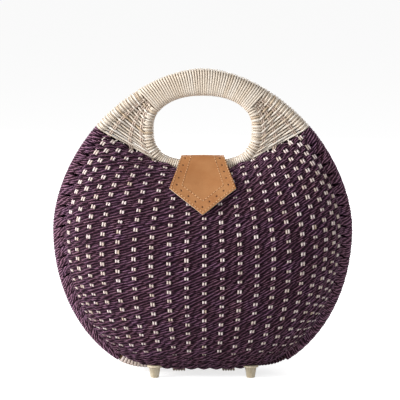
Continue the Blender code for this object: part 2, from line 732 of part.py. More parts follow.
def underside_height(side):
    """Height of the shell's outside straight over a foot."""
    points, normals = shell_grid(side)
    outside = points + SHELL_THICKNESS / 2 * normals
    low = outside[:, SHELL_ROWS // 2 :]
    away = np.hypot(low[..., 0] - FOOT_ACROSS, low[..., 1] - side * FOOT_OUT)
    weight = 1 / (away + TOUCH_GAP) ** 2
    near = away < 2 * FOOT_FLANGE_RADIUS + away.min()
    return float((low[..., 2] * weight)[near].sum() / weight[near].sum())


def feet(side, prefix):
    """Two turned feet, each with a flange against the basketwork and a tapered peg."""
    cutter = shell_cutter(side, prefix)
    flange = underside_height(side) - FOOT_FLANGE_THICKNESS
    profile = [
        (0, FOOT_BLANK_HEIGHT),
        (FOOT_FLANGE_RADIUS, FOOT_BLANK_HEIGHT),
        (FOOT_FLANGE_RADIUS, flange),
        (FOOT_TOP_RADIUS, flange),
        (FOOT_BOTTOM_RADIUS, 0),
        (0, 0),
    ]
    for word, hand in (("left", LEFT), ("right", RIGHT)):
        name = prefix + "foot_" + word
        data = bpy.data.meshes.new(name)
        edges = [(n, n + 1) for n in range(len(profile) - 1)]
        data.from_pydata([(x, 0, z) for x, z in profile], edges, [])
        item = place(bpy.data.objects.new(name, data), FOOT_WOOD)
        item.location = (hand * FOOT_ACROSS, side * FOOT_OUT, 0)
        turned = item.modifiers.new("turned", "SCREW")
        turned.steps = FOOT_SIDES
        turned.render_steps = FOOT_SIDES
        turned.use_merge_vertices = True
        turned.merge_threshold = MERGE_DISTANCE
        cut(item, cutter)


def build():
    """Make both halves, then what joins and closes them."""
    notches = notch_cutters()
    for side, prefix in ((FRONT, "front_"), (BACK, "back_")):
        cores(side, prefix)
        rim_wraps(side, prefix)
        ring_wrap(side, prefix)
        handle_winding(side, prefix)
        corner_panels(side, prefix)
        woven_shell(side, prefix, notches)
        lining(side, prefix)
        feet(side, prefix)
    lashings()
    gussets()
    flap()
    back_tab()


build()
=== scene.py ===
"""Shell-shaped basket bag: two halves of plum cord woven over cane stakes, closed by a leather flap.

Lengths are in metres. X runs to the right, -Y to the front, +Z up, and the feet stand on Z = 0.
The rim and the ring are held as the right half of an outline, from its top down, and a place on
them is a length from the top, negative on the left side.
"""

import json
import math

import bpy
import numpy as np
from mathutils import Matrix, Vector

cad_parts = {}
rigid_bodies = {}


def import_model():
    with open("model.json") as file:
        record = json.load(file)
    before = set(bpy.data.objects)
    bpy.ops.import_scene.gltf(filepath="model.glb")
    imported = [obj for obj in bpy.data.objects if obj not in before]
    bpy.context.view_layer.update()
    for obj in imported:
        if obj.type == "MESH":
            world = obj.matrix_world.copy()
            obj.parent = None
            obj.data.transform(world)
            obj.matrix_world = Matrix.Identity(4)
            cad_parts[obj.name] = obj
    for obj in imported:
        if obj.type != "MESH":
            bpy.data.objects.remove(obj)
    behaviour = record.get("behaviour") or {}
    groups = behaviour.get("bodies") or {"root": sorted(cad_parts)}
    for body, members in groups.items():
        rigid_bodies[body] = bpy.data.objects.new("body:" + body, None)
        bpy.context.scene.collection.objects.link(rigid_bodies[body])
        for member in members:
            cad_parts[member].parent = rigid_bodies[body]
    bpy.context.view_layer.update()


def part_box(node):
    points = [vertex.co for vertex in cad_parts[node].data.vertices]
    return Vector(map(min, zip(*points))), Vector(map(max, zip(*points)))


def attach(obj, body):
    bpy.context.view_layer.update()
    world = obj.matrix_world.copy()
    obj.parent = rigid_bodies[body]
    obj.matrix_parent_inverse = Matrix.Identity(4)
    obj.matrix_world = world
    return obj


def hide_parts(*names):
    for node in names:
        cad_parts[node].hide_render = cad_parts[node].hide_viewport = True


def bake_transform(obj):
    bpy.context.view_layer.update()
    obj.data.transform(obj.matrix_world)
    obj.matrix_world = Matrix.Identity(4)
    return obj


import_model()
chance = np.random.default_rng(7)

FRONT, BACK = -1.0, 1.0
LEFT, RIGHT = -1.0, 1.0
HANDS = (("left", LEFT), ("right", RIGHT))
DEPTHWISE = np.array([0.0, 1.0, 0.0])
UPWARD = np.array([0.0, 0.0, 1.0])
SAMPLES = 721

# Rim and hand ring, on the centre lines of their cane. Of an oval's four powers, two shape it
# above its widest place and two below.
RIM_HALF_WIDTH = 0.1448
RIM_TOP_HEIGHT = 0.3005
RIM_WIDEST_HEIGHT = 0.1462
RIM_LOWER_REACH = 0.1490
RIM_BOTTOM_HEIGHT = 0.0100
RIM_FLATTENING = 0.0030
RIM_POWERS = (1.75, 1.80, 2.48, 2.02)
RIM_OFFSET = 0.0066
RING_HALF_WIDTH = 0.0550
RING_HALF_HEIGHT = 0.0386
RING_CENTRE_HEIGHT = 0.2475
RING_BOTTOM_HEIGHT = RING_CENTRE_HEIGHT - RING_HALF_HEIGHT
RING_POWERS = (2.2, 2.2, 2.8, 2.8)
WRAP_RADIUS = 0.0060

# Where the stretches of rim and ring end
ARCH_END_HALF_WIDTH = 0.0600
WEAVE_CORNER_HEIGHT = 0.2455
WEAVE_END_HALF_WIDTH = 0.0820
RIGHT_PLUM_END_HALF_WIDTH = 0.0560
SHELL_BOTTOM_HALF_WIDTH = 0.0900
RING_ARCH_END_HALF_WIDTH = 0.0480
RING_PANEL_END_HALF_WIDTH = 0.0450
WINDING_GAP = 0.0015

# Woven shell, on the middle of its thickness
SHELL_DEPTH = 0.0610
SHELL_DEEPEST_HEIGHT = 0.1120
SHELL_HALF_THICKNESS = 0.0020
SHELL_UPPER_POWER = 1.6
SHELL_LOWER_POWER = 3.3
ROW_TOP_POWER = 1.55
ROW_BOTTOM_POWER = 4.0
ROW_FULLNESS = 2.2
SEAT_RADIUS = 0.0083
SHELL_TOP_SEAT = math.radians(45)
SHELL_SIDE_SEAT = math.radians(40)
SHELL_BOTTOM_SEAT = math.radians(100)

# Stakes stand in pairs at angles across the shell, wider apart towards its edges. The numbers
# below 0 and past the last stake only count how the cords' ends swing.
STAKES = 20
STAKE_NUMBERS = np.arange(-4.0, 24.0)
MIDDLE_STAKE = 8.9
STAKE_STEPS = STAKE_NUMBERS - MIDDLE_STAKE
STAKE_DEGREES = 7.35
STAKE_WIDENING = np.where(STAKE_STEPS < 0, 0.0130, 0.0045)
STAKE_TURNS = np.radians(STAKE_DEGREES * STAKE_STEPS + STAKE_WIDENING * STAKE_STEPS**3)
STAKE_RADIUS = 0.00106
STAKE_SPREAD = 0.00120
STAKE_LIFT = 0.00040
STAKE_SUNK_HEIGHT = 0.0285
STAKE_SUNK_BLEND = 0.0050
STAKE_SUNK = 0.0018
STAKE_SAMPLES = 157
STAKE_TONE = 0.7
STAKE_TONE_WANDER = 0.25

# Plum cord, in rows of two over one pair of stakes and under the next
ROWS = 52
ROW_SAG = 0.27
ROW_WANDER = 0.06
CORD_RADIUS = 0.00156
CORD_FLATNESS = 0.70
CORD_FLAT_RADIUS = CORD_RADIUS * CORD_FLATNESS
CORD_SIDES = 6
CORD_RIDGES = 3
CORD_LAY = 0.0210
RIDGE_PITCH = CORD_LAY / CORD_RIDGES
LAY_WANDER = 0.06
CORD_LIFT = 0.00130
CORD_SPREAD = 0.00022
CORD_SWELL = 0.28
CORD_WANDER = 0.00032
CORD_SAMPLES = 260
CORD_SAMPLE_EASE = 0.2
CORD_RELIEF = 0.0004
CORD_TONE_WANDER = 0.28
# Painted shade where a cord goes under a stake
CORD_SHADE = 0.45
# Paler cord over the rim, partly from rubbing and partly as painted light
RIM_WEAR_AND_LIGHT = 1.25
RUBBED_AND_LIT = 0.60

# How the cords leave the shell and bend over the rim, at angles from the rim's inner side
EDGE_TURN = math.radians(81)
RIM_CONTACT = math.radians(130)
RIM_TURN_END = math.radians(310)
RIM_GATHER = 0.28
CALM_ROWS = 8
BEND_PULL = 0.9
BEND_SAMPLES = 9
BEND_SHARES = np.linspace(0, 1, BEND_SAMPLES + 2)[None, 1:-1, None]
RIM_SAMPLES = 15
BEDDING = 0.0002
FLANK_PITCH = 1.9 * CORD_RADIUS
FLANK_RADIUS = WRAP_RADIUS - 1.75 * CORD_RADIUS

# Cane strands: a flat half round, wound close
CANE_HALF_THICKNESS = 0.00068
CANE_SIDES = 8
CANE_PITCH = 0.00218
CANE_FILL = 0.48
CANE_TONE_WANDER = 0.14
BOTTOM_PITCH = 0.0033
WINDING_SUNK = 0.0009
TURN_SAMPLES = 14
HALF_TURN_SAMPLES = 7
ARCH_RADIUS = 0.0063
ARCH_LOOPS = 50
ARCH_TONE_WANDER = 0.10
ARCH_HALF_STRAND = 0.00112
LASHING_PLACE = 0.0250
LASHING_WIDTH = 0.0128
LASHING_RADIUS = 0.0080
LASHING_LOOPS = 5
LASHING_HALF_STRAND = 0.00115
LASHING_HALF_THICKNESS = 0.0010

# Corner panels, between the ring and the rim
CORNER_WEFTS = 17
CORNER_WEFT_HALF_WIDTH = 0.00092
CORNER_WEFT_LIFT = 0.0014
CORNER_HOLLOW = 0.0012
CORNER_TUCK = 0.0002
CORNER_END_START = math.radians(48)
CORNER_END_STOP = math.radians(300)
CORNER_STAKE_SHARES = np.array([0.12, 0.47, 0.88])
CORNER_STAKE_RADIUS = 0.0009
CORNER_STAKE_SPREAD = 0.00095
CORNER_STAKE_LIFT = 0.0003
CORNER_STAKE_SAMPLES = 70
CORNER_STAKE_TONE = 0.2
LOOSE_END_SHARES = np.array([[0.20, 0.34, 0.60, 0.72, 0.90]])
LOOSE_END_LEAN = 1.1
LOOSE_END_LENGTHS = (0.0040, 0.0075)
LOOSE_END_OFFSET = 0.0012
LOOSE_END_RISE = 0.45
LOOSE_END_HALF_WIDTH = 0.0008
LOOSE_END_HALF_THICKNESS = 0.0005
LOOSE_END_TONE = 0.9

# Leather
FLAP_TOP_HALF_WIDTH = 0.0216
FLAP_FOLD_WIDENING = 0.0008
FLAP_CORNER_HALF_WIDTH = 0.0330
FLAP_CORNER_HEIGHT = 0.1892
FLAP_TIP_HEIGHT = 0.1660
FLAP_SIDE_POWER = 1.2
FLAP_REACH = 0.09
BACKING_THICKNESS = 0.0012
OUTER_THICKNESS = 0.0014
LAYER_GAP = 0.0003
LEATHER_ROWS = np.arange(0.10, 0.5001, 0.01)
LEATHER_RELIEF = 0.00008
TAB_THICKNESS = 0.0026
FOLD_THICKNESS = 0.0027
RING_CLEARANCE = 0.0017
SHELL_CLEARANCE = 0.0023
FOLD_GAP = 0.0018
FOLD_OVERLAP = 0.0002
FOLD_GRID = (31, 13)
TAB_LENGTH = 0.0300
BULGE_HEIGHT = 0.0013
BULGE_REACH = 0.0240
HOLE_INSET = 0.0062
HOLE_PITCH = 0.0090
HOLE_RADIUS = 0.00112
HOLE_DEPTH = 0.0005
STITCH_INSETS = (0.0020, 0.0112)
STITCH_START = 0.0012
STITCH_PITCH = 0.0034
STITCH_LENGTH = 0.0021
STITCH_HALF_WIDTH = 0.00034
STITCH_HALF_THICKNESS = 0.00026
NEEDLE_HALF_WIDTH = 0.00042
STITCH_REST = 0.00062
STITCH_RISE = 0.00022
NEEDLE_MARGIN = 0.00025

# Cloth
LINING_ROWS = np.linspace(0.02, 0.97, 51)
LINING_INSET = 0.0034
LINING_SEAM = 0.0048
LINING_THICKNESS = 0.0008
GUSSET_HEIGHTS = np.array([0.2000, 0.0450])
GUSSET_SEAM = 0.0040
GUSSET_HALF_GAP = 0.0010
GUSSET_THICKNESS = 0.0006
GUSSET_SAMPLES = 61
FULL_OPENING = math.radians(45)

# Feet: radii and heights of the turned profile, and the cord bound round its neck
FOOT_PROFILE = np.array(
    [
        (0.0037, 0.0),
        (0.0042, 0.0005),
        (0.0059, 0.0106),
        (0.0072, 0.0107),
        (0.0075, 0.0110),
        (0.0075, 0.0120),
        (0.0072, 0.0123),
        (0.0036, 0.0125),
    ]
)
FOOT_SIDES = 40
FOOT_BINDING_RADIUS = 0.0046
FOOT_BINDING_HALF_THICKNESS = 0.9 * CORD_RADIUS
FOOT_BINDING_TONE = 0.4
FOOT_BINDING_TURNS = 2.5
FOOT_BINDING_HEIGHTS = (0.0135, 0.0185)
FOOT_BINDING_SAMPLES = 64

# The size of what repeats in each pattern. Fibres and the grain of cane and wood are drawn coarser
# than real, to show. A noise's scale is 1 over the size of its clouds.
DYE_PATCH = 0.0167
PAPER_FIBRE = 0.000385
CANE_GRAIN = 0.00111
CORE_GRAIN = 0.00143
HIDE_CLOUD = 0.0167
HIDE_PEBBLE = 0.000556
CUT_FIBRE = 0.000714
LINEN_FIBRE = 0.000556
COTTON_THREAD = 0.00121
BEECH_GRAIN = 0.00143
STEEL_CLOUD = 0.00333

# Camera and light; the lens is in millimetres
CAMERA_LENS = 232.6
CAMERA_RISE = math.radians(7)
CAMERA_AWAY = 2.6
CAMERA_TARGET = np.array([-0.0027, 0.0, 0.1743])
LAMPS = (
    ("window_left", (-1.62, -0.58, 0.82), 0.9, 40.0),
    ("fill_front", (-0.2, -1.7, 1.1), 1.2, 9.0),
    ("fill_back", (0.5, 1.9, 1.0), 1.2, 23.0),
)
LAMP_TARGET = (0, 0, 0.15)
AIR_LIGHT = 0.26
PAPER_GLOW = 0.76


def colour(code):
    """A linear colour from its sRGB hex code."""
    shares = [int(code[place : place + 2], 16) / 255 for place in (1, 3, 5)]
    linear = [share / 12.92 if share <= 0.04045 else ((share + 0.055) / 1.055) ** 2.4 for share in shares]
    return (*linear, 1.0)


def node(surface, kind, output, inputs, **settings):
    """Add a node, set it up, give its inputs values or other nodes' outputs, and return one output."""
    made = surface.node_tree.nodes.new(kind)
    for name, value in settings.items():
        setattr(made, name, value)
    for name, value in inputs.items():
        if isinstance(value, bpy.types.NodeSocket):
            surface.node_tree.links.new(value, made.inputs[name])
        else:
            made.inputs[name].default_value = value
    return made.outputs[output]


def new_material(name, **levels):
    """A material, with its shader's inputs set by their names (an underscore stands for a space),
    and the object's own coordinates.
    """
    made = bpy.data.materials.new(name)
    made.use_nodes = True
    shader = made.node_tree.nodes["Principled BSDF"]
    for label, level in levels.items():
        shader.inputs[label.replace("_", " ")].default_value = level
    return made, node(made, "ShaderNodeTexCoord", "Object", {})


def finished(surface, base, relief=None):
    """A material with its colour, and its relief if it has one, given to its shader."""
    shader = surface.node_tree.nodes["Principled BSDF"]
    surface.node_tree.links.new(base, shader.inputs["Base Color"])
    if relief:
        surface.node_tree.links.new(relief, shader.inputs["Normal"])
    return surface


def plum_paper_cord():
    """Twisted paper cord, dyed in the yarn: the dye is uneven, so the plum turns redder and bluer
    in patches. The twist leaves slanting ridges seven millimetres apart along the cord, coarser
    than real so that they show, with a painted highlight in mauve on their crests and painted
    shade, near-black, between them. A low tone darkens a cord with painted shade where it goes
    under a stake. Over the rim the cords are paler, partly from rubbing and partly as painted
    light, and loose fibres give a soft sheen at a slant.
    """
    made, place = new_material(
        "plum_paper_cord",
        Roughness=0.7,
        Specular_IOR_Level=0.07,
        Sheen_Weight=0.35,
        Sheen_Roughness=0.5,
        Sheen_Tint=colour("#c99bb8"),
    )
    turn = node(made, "ShaderNodeAttribute", "Fac", {}, attribute_name="turn")
    reach = node(made, "ShaderNodeAttribute", "Fac", {}, attribute_name="reach")
    tone = node(made, "ShaderNodeAttribute", "Fac", {}, attribute_name="tone")
    slant = {0: turn, 1: CORD_RIDGES, 2: reach}
    run = node(made, "ShaderNodeMath", "Value", slant, operation="MULTIPLY_ADD")
    ridge = node(made, "ShaderNodeMath", "Value", {0: run, 1: 0.5}, operation="PINGPONG")
    patches = {"Vector": place, "Scale": 1 / DYE_PATCH, "Detail": 3.0}
    cloud = node(made, "ShaderNodeTexNoise", "Fac", patches)
    levels = {"Value": cloud, "From Min": 0.42, "From Max": 0.62}
    redder = node(made, "ShaderNodeMapRange", "Result", levels)
    dye = {"Fac": redder, "Color1": colour("#451a26"), "Color2": colour("#4c2447")}
    patch = node(made, "ShaderNodeMixRGB", "Color", dye)
    # A low tone darkens the dye, at random and as painted shade where the cord goes under a stake
    dye_and_shade = {"Fac": tone, "Color1": colour("#2f1623"), "Color2": patch}
    dyed = node(made, "ShaderNodeMixRGB", "Color", dye_and_shade)
    # A tone over 1 pales the cord over the rim, from rubbing and as painted light
    wear_and_light = {"Value": tone, "From Min": 1.0, "From Max": 2.0, "To Max": RUBBED_AND_LIT}
    rubbed_and_lit = node(made, "ShaderNodeMapRange", "Result", wear_and_light)
    paler = {"Fac": rubbed_and_lit, "Color1": dyed, "Color2": colour("#8c6075")}
    worn_and_lit = node(made, "ShaderNodeMixRGB", "Color", paler)
    # Painted highlight on the crests of the ridges, paler with the tone
    painted_highlight = {"Fac": tone, "Color1": colour("#81566b"), "Color2": colour("#cda3bd")}
    crest = node(made, "ShaderNodeMixRGB", "Color", painted_highlight)
    flank = {"Value": ridge, "From Min": 0.14, "From Max": 0.38}
    side = node(made, "ShaderNodeMapRange", "Result", flank)
    # Painted shade, near-black, between the ridges
    groove_shade = {"Fac": side, "Color1": colour("#0f050b"), "Color2": worn_and_lit}
    body = node(made, "ShaderNodeMixRGB", "Color", groove_shade)
    height = {"Value": ridge, "From Min": 0.37, "From Max": 0.50}
    top = node(made, "ShaderNodeMapRange", "Result", height)
    whole = node(made, "ShaderNodeMixRGB", "Color", {"Fac": top, "Color1": body, "Color2": crest})
    fibres = {"Vector": place, "Scale": 1 / PAPER_FIBRE, "Detail": 3.0}
    hairs = node(made, "ShaderNodeTexNoise", "Fac", fibres)
    span = {"Value": hairs, "From Min": 0.35, "From Max": 0.75}
    fibre = node(made, "ShaderNodeMapRange", "Result", span)
    twisted = node(made, "ShaderNodeMixRGB", "Color", {"Fac": fibre, "Color1": whole, "Color2": body})
    bumps = {"Height": ridge, "Distance": CORD_RELIEF, "Strength": 1.0}
    return finished(made, twisted, node(made, "ShaderNodeBump", "Normal", bumps))


def split_cane(name, dark, light):
    """Split cane with its skin on the outside: cream and silky, straw-coloured on some strands,
    and brown towards its edges, partly the colour of its cut edges and partly painted shade
    between the strands. Its grain is drawn coarser than real, so that it shows.
    """
    made, place = new_material(name, Roughness=0.5, Specular_IOR_Level=0.4)
    tone = node(made, "ShaderNodeAttribute", "Fac", {}, attribute_name="tone")
    edge = node(made, "ShaderNodeAttribute", "Fac", {}, attribute_name="edge")
    strand = {"Fac": tone, "Color1": colour(dark), "Color2": colour(light)}
    whole = node(made, "ShaderNodeMixRGB", "Color", strand)
    fibres = {"Vector": place, "Scale": 1 / CANE_GRAIN, "Detail": 3.0}
    lines = node(made, "ShaderNodeTexNoise", "Fac", fibres)
    span = {"Value": lines, "From Min": 0.35, "From Max": 0.75}
    grain = node(made, "ShaderNodeMapRange", "Result", span)
    shaded = {"Fac": 0.3, "Color1": whole, "Color2": colour(dark)}
    darker = node(made, "ShaderNodeMixRGB", "Color", shaded)
    skin = node(made, "ShaderNodeMixRGB", "Color", {"Fac": grain, "Color1": whole, "Color2": darker})
    # Brown towards a strand's edges: the colour of its cut edge, and painted shade between strands
    side = node(made, "ShaderNodeMapRange", "Result", {"Value": edge, "From Min": 0.5, "From Max": 1.0})
    cut = {"Fac": side, "Color1": skin, "Color2": colour("#7d6040")}
    return finished(made, node(made, "ShaderNodeMixRGB", "Color", cut))


def tan_leather():
    """Vegetable-tanned cowhide: an even tan, a little cloudy, with a pebbled grain of about half
    a millimetre, and painted shade, near-black, inside each punched hole.
    """
    made, place = new_material("tan_cowhide", Roughness=0.6, Specular_IOR_Level=0.2)
    clouds = {"Vector": place, "Scale": 1 / HIDE_CLOUD, "Detail": 3.0}
    hide = node(made, "ShaderNodeTexNoise", "Fac", clouds)
    cloud = node(made, "ShaderNodeMapRange", "Result", {"Value": hide, "From Min": 0.3, "From Max": 0.7})
    tan = {"Fac": cloud, "Color1": colour("#ad7447"), "Color2": colour("#b88254")}
    skin = node(made, "ShaderNodeMixRGB", "Color", tan)
    pebbles = {"Vector": place, "Scale": 1 / HIDE_PEBBLE, "Detail": 3.0}
    grain = node(made, "ShaderNodeTexNoise", "Fac", pebbles)
    span = {"Value": grain, "From Min": 0.5, "From Max": 0.8, "To Max": 0.3}
    pores = node(made, "ShaderNodeMapRange", "Result", span)
    dips = {"Fac": pores, "Color1": skin, "Color2": colour("#8f5a33")}
    pebbled = node(made, "ShaderNodeMixRGB", "Color", dips)
    punched = node(made, "ShaderNodeAttribute", "Fac", {}, attribute_name="punched")
    # Painted shade, near-black, in the punched holes
    holes = {"Fac": punched, "Color1": pebbled, "Color2": colour("#2a0c07")}
    holed = node(made, "ShaderNodeMixRGB", "Color", holes)
    bumps = {"Height": grain, "Distance": LEATHER_RELIEF, "Strength": 1.0}
    return finished(made, holed, node(made, "ShaderNodeBump", "Normal", bumps))


def mottled(name, dark, light, size, stretch=1.0, **levels):
    """A finish that wanders between two near colours in clouds of a size, drawn out along Z."""
    made, place = new_material(name, **levels)
    longer = node(made, "ShaderNodeMapping", "Vector", {"Vector": place, "Scale": (1.0, 1.0, 1.0 / stretch)})
    cloud = node(made, "ShaderNodeTexNoise", "Fac", {"Vector": longer, "Scale": 1 / size, "Detail": 3.0})
    share = node(made, "ShaderNodeMapRange", "Result", {"Value": cloud, "From Min": 0.35, "From Max": 0.65})
    both = {"Fac": share, "Color1": colour(dark), "Color2": colour(light)}
    return finished(made, node(made, "ShaderNodeMixRGB", "Color", both))


def plain_weave_cotton():
    """Plain-woven cotton, dyed dark plum: matt, with its threads drawn 1.2 mm apart, coarser
    than real, so that they show. A wave's bands lie two pi, divided by twenty times its scale, apart.
    """
    made, place = new_material("plain_weave_cotton", Roughness=0.9, Specular_IOR_Level=0.1)
    scale = 2 * math.pi / (20 * COTTON_THREAD)
    warp = {"Vector": place, "Scale": scale, "Distortion": 0.6, "Detail": 1.0}
    lengthwise = node(made, "ShaderNodeTexWave", "Fac", warp, bands_direction="X")
    crosswise = node(made, "ShaderNodeTexWave", "Fac", warp, bands_direction="Z")
    crossed = {"Fac": 0.5, "Color1": lengthwise, "Color2": crosswise}
    threads = node(made, "ShaderNodeMixRGB", "Color", crossed)
    woven = {"Fac": threads, "Color1": colour("#1d1019"), "Color2": colour("#3b2433")}
    return finished(made, node(made, "ShaderNodeMixRGB", "Color", woven))


PLUM_CORD = plum_paper_cord()
CANE = split_cane("split_cane_winding", "#cdb699", "#fbf5ec")
# The cane of the stakes is greyer on its darker strands, as painted shade between the cords
STAKE_CANE = split_cane("split_cane_stakes", "#c6b09a", "#faecec")
# Round cane without its skin: browner and duller, with long fibres
CORE = mottled("peeled_cane_core", "#8d6a45", "#a98a63", CORE_GRAIN, Roughness=0.7, Specular_IOR_Level=0.4)
LEATHER = tan_leather()
# The cut edge of the hide: pale and fibrous
LEATHER_EDGE = mottled(
    "leather_cut_edge", "#dcc4a2", "#f3e4cc", CUT_FIBRE, Roughness=0.8, Specular_IOR_Level=0.2
)
# Waxed linen thread: a satin straw tan
THREAD = mottled(
    "waxed_linen_thread", "#c9986a", "#e6bf93", LINEN_FIBRE, Roughness=0.6, Specular_IOR_Level=0.4
)
# Painted shade of the needle holes: dark leather brown in the gaps between the stitches
NEEDLE_HOLE = mottled(
    "needle_hole_shade", "#6c3e20", "#8b5530", CUT_FIBRE, Roughness=0.9, Specular_IOR_Level=0.1
)
LINING = plain_weave_cotton()
# Turned beech, oiled: pale and smooth, with its grain along the foot
WOOD = mottled(
    "turned_beech", "#d0bf9f", "#e6dac2", BEECH_GRAIN, 7.0, Roughness=0.5, Specular_IOR_Level=0.4
)
# Nickel-plated steel: bright, a little cloudy from handling
METAL = mottled("nickel_plated_steel", "#aaa59b", "#c4c0b8", STEEL_CLOUD, Roughness=0.3, Metallic=1.0)


def running_length(points):
    """Length along a polyline at each of its points."""
    steps = np.linalg.norm(np.diff(points, axis=0), axis=1)
    return np.concatenate([[0.0], np.cumsum(steps)])


def points_at(points, lengths):
    """Points of a polyline at the given lengths along it."""
    reach = running_length(points)
    return np.stack([np.interp(lengths, reach, column) for column in points.T], axis=-1)


def oval_half(half_width, centre, up, down, powers):
    """Right half of an oval with fuller corners than an ellipse, from its top down, as (x, z).

    As the angle runs from the top to the bottom, x is the half width times its cosine raised to
    two over the first power, and the height off the centre is the reach times its sine raised to
    two over the second. The two powers are given above the widest place, then below it.
    """
    turn = np.linspace(math.pi / 2, -math.pi / 2, SAMPLES)
    upper = turn > 0
    width_power = np.where(upper, powers[0], powers[2])
    height_power = np.where(upper, powers[1], powers[3])
    x = half_width * np.clip(np.cos(turn), 0, 1) ** (2 / width_power)
    rise = np.sign(turn) * np.abs(np.sin(turn)) ** (2 / height_power)
    return np.stack([x, centre + np.where(upper, up, down) * rise], axis=-1)


def rim_half():
    """Right half of the rim's centre line: an oval with a soft flat stretch at its bottom."""
    up = RIM_TOP_HEIGHT - RIM_WIDEST_HEIGHT
    line = oval_half(RIM_HALF_WIDTH, RIM_WIDEST_HEIGHT, up, RIM_LOWER_REACH, RIM_POWERS)
    above = (line[:, 1] - RIM_BOTTOM_HEIGHT) / RIM_FLATTENING
    line[:, 1] = RIM_BOTTOM_HEIGHT + RIM_FLATTENING * np.logaddexp(0, above)
    return line


def length_at_height(half, height):
    """Length from a half outline's top down to a height."""
    return float(np.interp(-height, -half[:, 1], running_length(half)))


def length_at_width(half, width, lower):
    """Length from a half outline's top to a half width, above or below its widest place."""
    widest = int(np.argmax(half[:, 0]))
    reach = running_length(half)
    if lower:
        return float(np.interp(-width, -half[widest:, 0], reach[widest:]))
    return float(np.interp(width, half[: widest + 1, 0], reach[: widest + 1]))


RIM = rim_half()
RING = oval_half(RING_HALF_WIDTH, RING_CENTRE_HEIGHT, RING_HALF_HEIGHT, RING_HALF_HEIGHT, RING_POWERS)
RIM_LENGTH = running_length(RIM)[-1]
RING_LENGTH = running_length(RING)[-1]
RIM_ARCH_END = length_at_width(RIM, ARCH_END_HALF_WIDTH, lower=False)
RIM_WEAVE_START = length_at_height(RIM, WEAVE_CORNER_HEIGHT)
RIM_WEAVE_END = length_at_width(RIM, WEAVE_END_HALF_WIDTH, lower=True)
RIGHT_PLUM_END = length_at_width(RIM, RIGHT_PLUM_END_HALF_WIDTH, lower=True)
SHELL_RIM_END = length_at_width(RIM, SHELL_BOTTOM_HALF_WIDTH, lower=True)
RING_ARCH_END = length_at_width(RING, RING_ARCH_END_HALF_WIDTH, lower=False)
RING_PANEL_END = length_at_width(RING, RING_PANEL_END_HALF_WIDTH, lower=True)


def outline(half, lengths):
    """Points of a closed outline at lengths from its top. Past the bottom it goes on up the other side."""
    total = running_length(half)[-1]
    wrapped = (lengths + total) % (2 * total) - total
    found = points_at(half, np.abs(wrapped))
    found[..., 0] *= np.where(wrapped < 0, LEFT, RIGHT)
    return found


def inward(half, lengths):
    """Unit directions from an outline towards the inside of its oval."""
    step = running_length(half)[-1] / SAMPLES
    along = outline(half, lengths + step) - outline(half, lengths - step)
    along /= np.linalg.norm(along, axis=-1, keepdims=True)
    return np.stack([along[..., 1], -along[..., 0]], axis=-1)


def stand(flat, depth):
    """Points (x, z) stood up at a depth y."""
    return np.stack([flat[..., 0], np.broadcast_to(depth, flat.shape[:-1]), flat[..., 1]], axis=-1)


def unit(vectors):
    """Vectors scaled to length 1."""
    return vectors / np.maximum(np.linalg.norm(vectors, axis=-1, keepdims=True), 1e-12)


def in_scene(name, data):
    """A new object of the scene that holds some data."""
    item = bpy.data.objects.new(name, data)
    bpy.context.scene.collection.objects.link(item)
    return item


def fill_mesh(name, corners, faces, surface, values):
    """A mesh from corner points and lists of faces, with smooth shading and values at its corners."""
    data = bpy.data.meshes.new(name)
    data.vertices.add(len(corners))
    data.vertices.foreach_set("co", corners.astype(np.float32).ravel())
    sizes = np.concatenate([np.full(len(group), group.shape[1]) for group in faces])
    order = np.concatenate([group.ravel() for group in faces])
    data.loops.add(len(order))
    data.loops.foreach_set("vertex_index", order.astype(np.int32))
    data.polygons.add(len(sizes))
    data.polygons.foreach_set("loop_start", (np.cumsum(sizes) - sizes).astype(np.int32))
    data.polygons.foreach_set("use_smooth", np.ones(len(sizes), dtype=bool))
    data.update(calc_edges=True)
    for label, level in values.items():
        layer = data.attributes.new(label, "FLOAT", "POINT")
        layer.data.foreach_set("value", level.astype(np.float32).ravel())
    data.materials.append(surface)
    return in_scene(name, data)


def walls_between(index):
    """Four-sided faces between the rings of corners in a grid of their numbers, rings first."""
    beside = np.roll(index, -1, axis=-1)
    corners = (index[..., :-1, :], beside[..., :-1, :], beside[..., 1:, :], index[..., 1:, :])
    return np.stack(corners, axis=-1).reshape(-1, 4)


def strands(name, paths, normals, half_width, half_thickness, sides, surface, tone, reach=None):
    """Strands of oval section laid along paths.

    A path has points, with a unit direction outwards at each. At an angle round the strand, a
    corner stands off its point by half the thickness times the cosine outwards, and by half the
    width times the sine across the path. A corner holds its place round the strand, how near it
    is to the strand's edges, the strand's tone, and for a twisted cord its length in ridges.
    """
    along = unit(np.gradient(paths, axis=1))
    across = unit(np.cross(along, normals))
    out = np.cross(across, along)
    angle = math.pi + np.arange(sides) * 2 * math.pi / sides
    thick = np.broadcast_to(half_thickness, paths.shape[:2])[..., None, None]
    wide = np.broadcast_to(half_width, paths.shape[:2])[..., None, None]
    height = thick * np.cos(angle)[:, None]
    width = wide * np.sin(angle)[:, None]
    corners = paths[:, :, None] + height * out[:, :, None] + width * across[:, :, None]
    shape = (*paths.shape[:2], sides)
    index = np.arange(math.prod(shape)).reshape(shape)
    faces = [walls_between(index), index[:, 0, ::-1], index[:, -1]]
    tones = np.broadcast_to(tone, paths.shape[:2])[..., None]
    values = {"edge": np.broadcast_to(np.sin(angle) ** 2, shape), "tone": np.broadcast_to(tones, shape)}
    if reach is not None:
        values["turn"] = np.broadcast_to(np.arange(sides) / sides, shape)
        values["reach"] = np.broadcast_to(reach[..., None], shape)
    return fill_mesh(name, corners.reshape(-1, 3), faces, surface, values)


def wavering(count, spread=0.25):
    """Random tones between 0 and 1 round a middle, one for each strand."""
    return np.clip(0.5 + spread * chance.standard_normal(count), 0, 1)


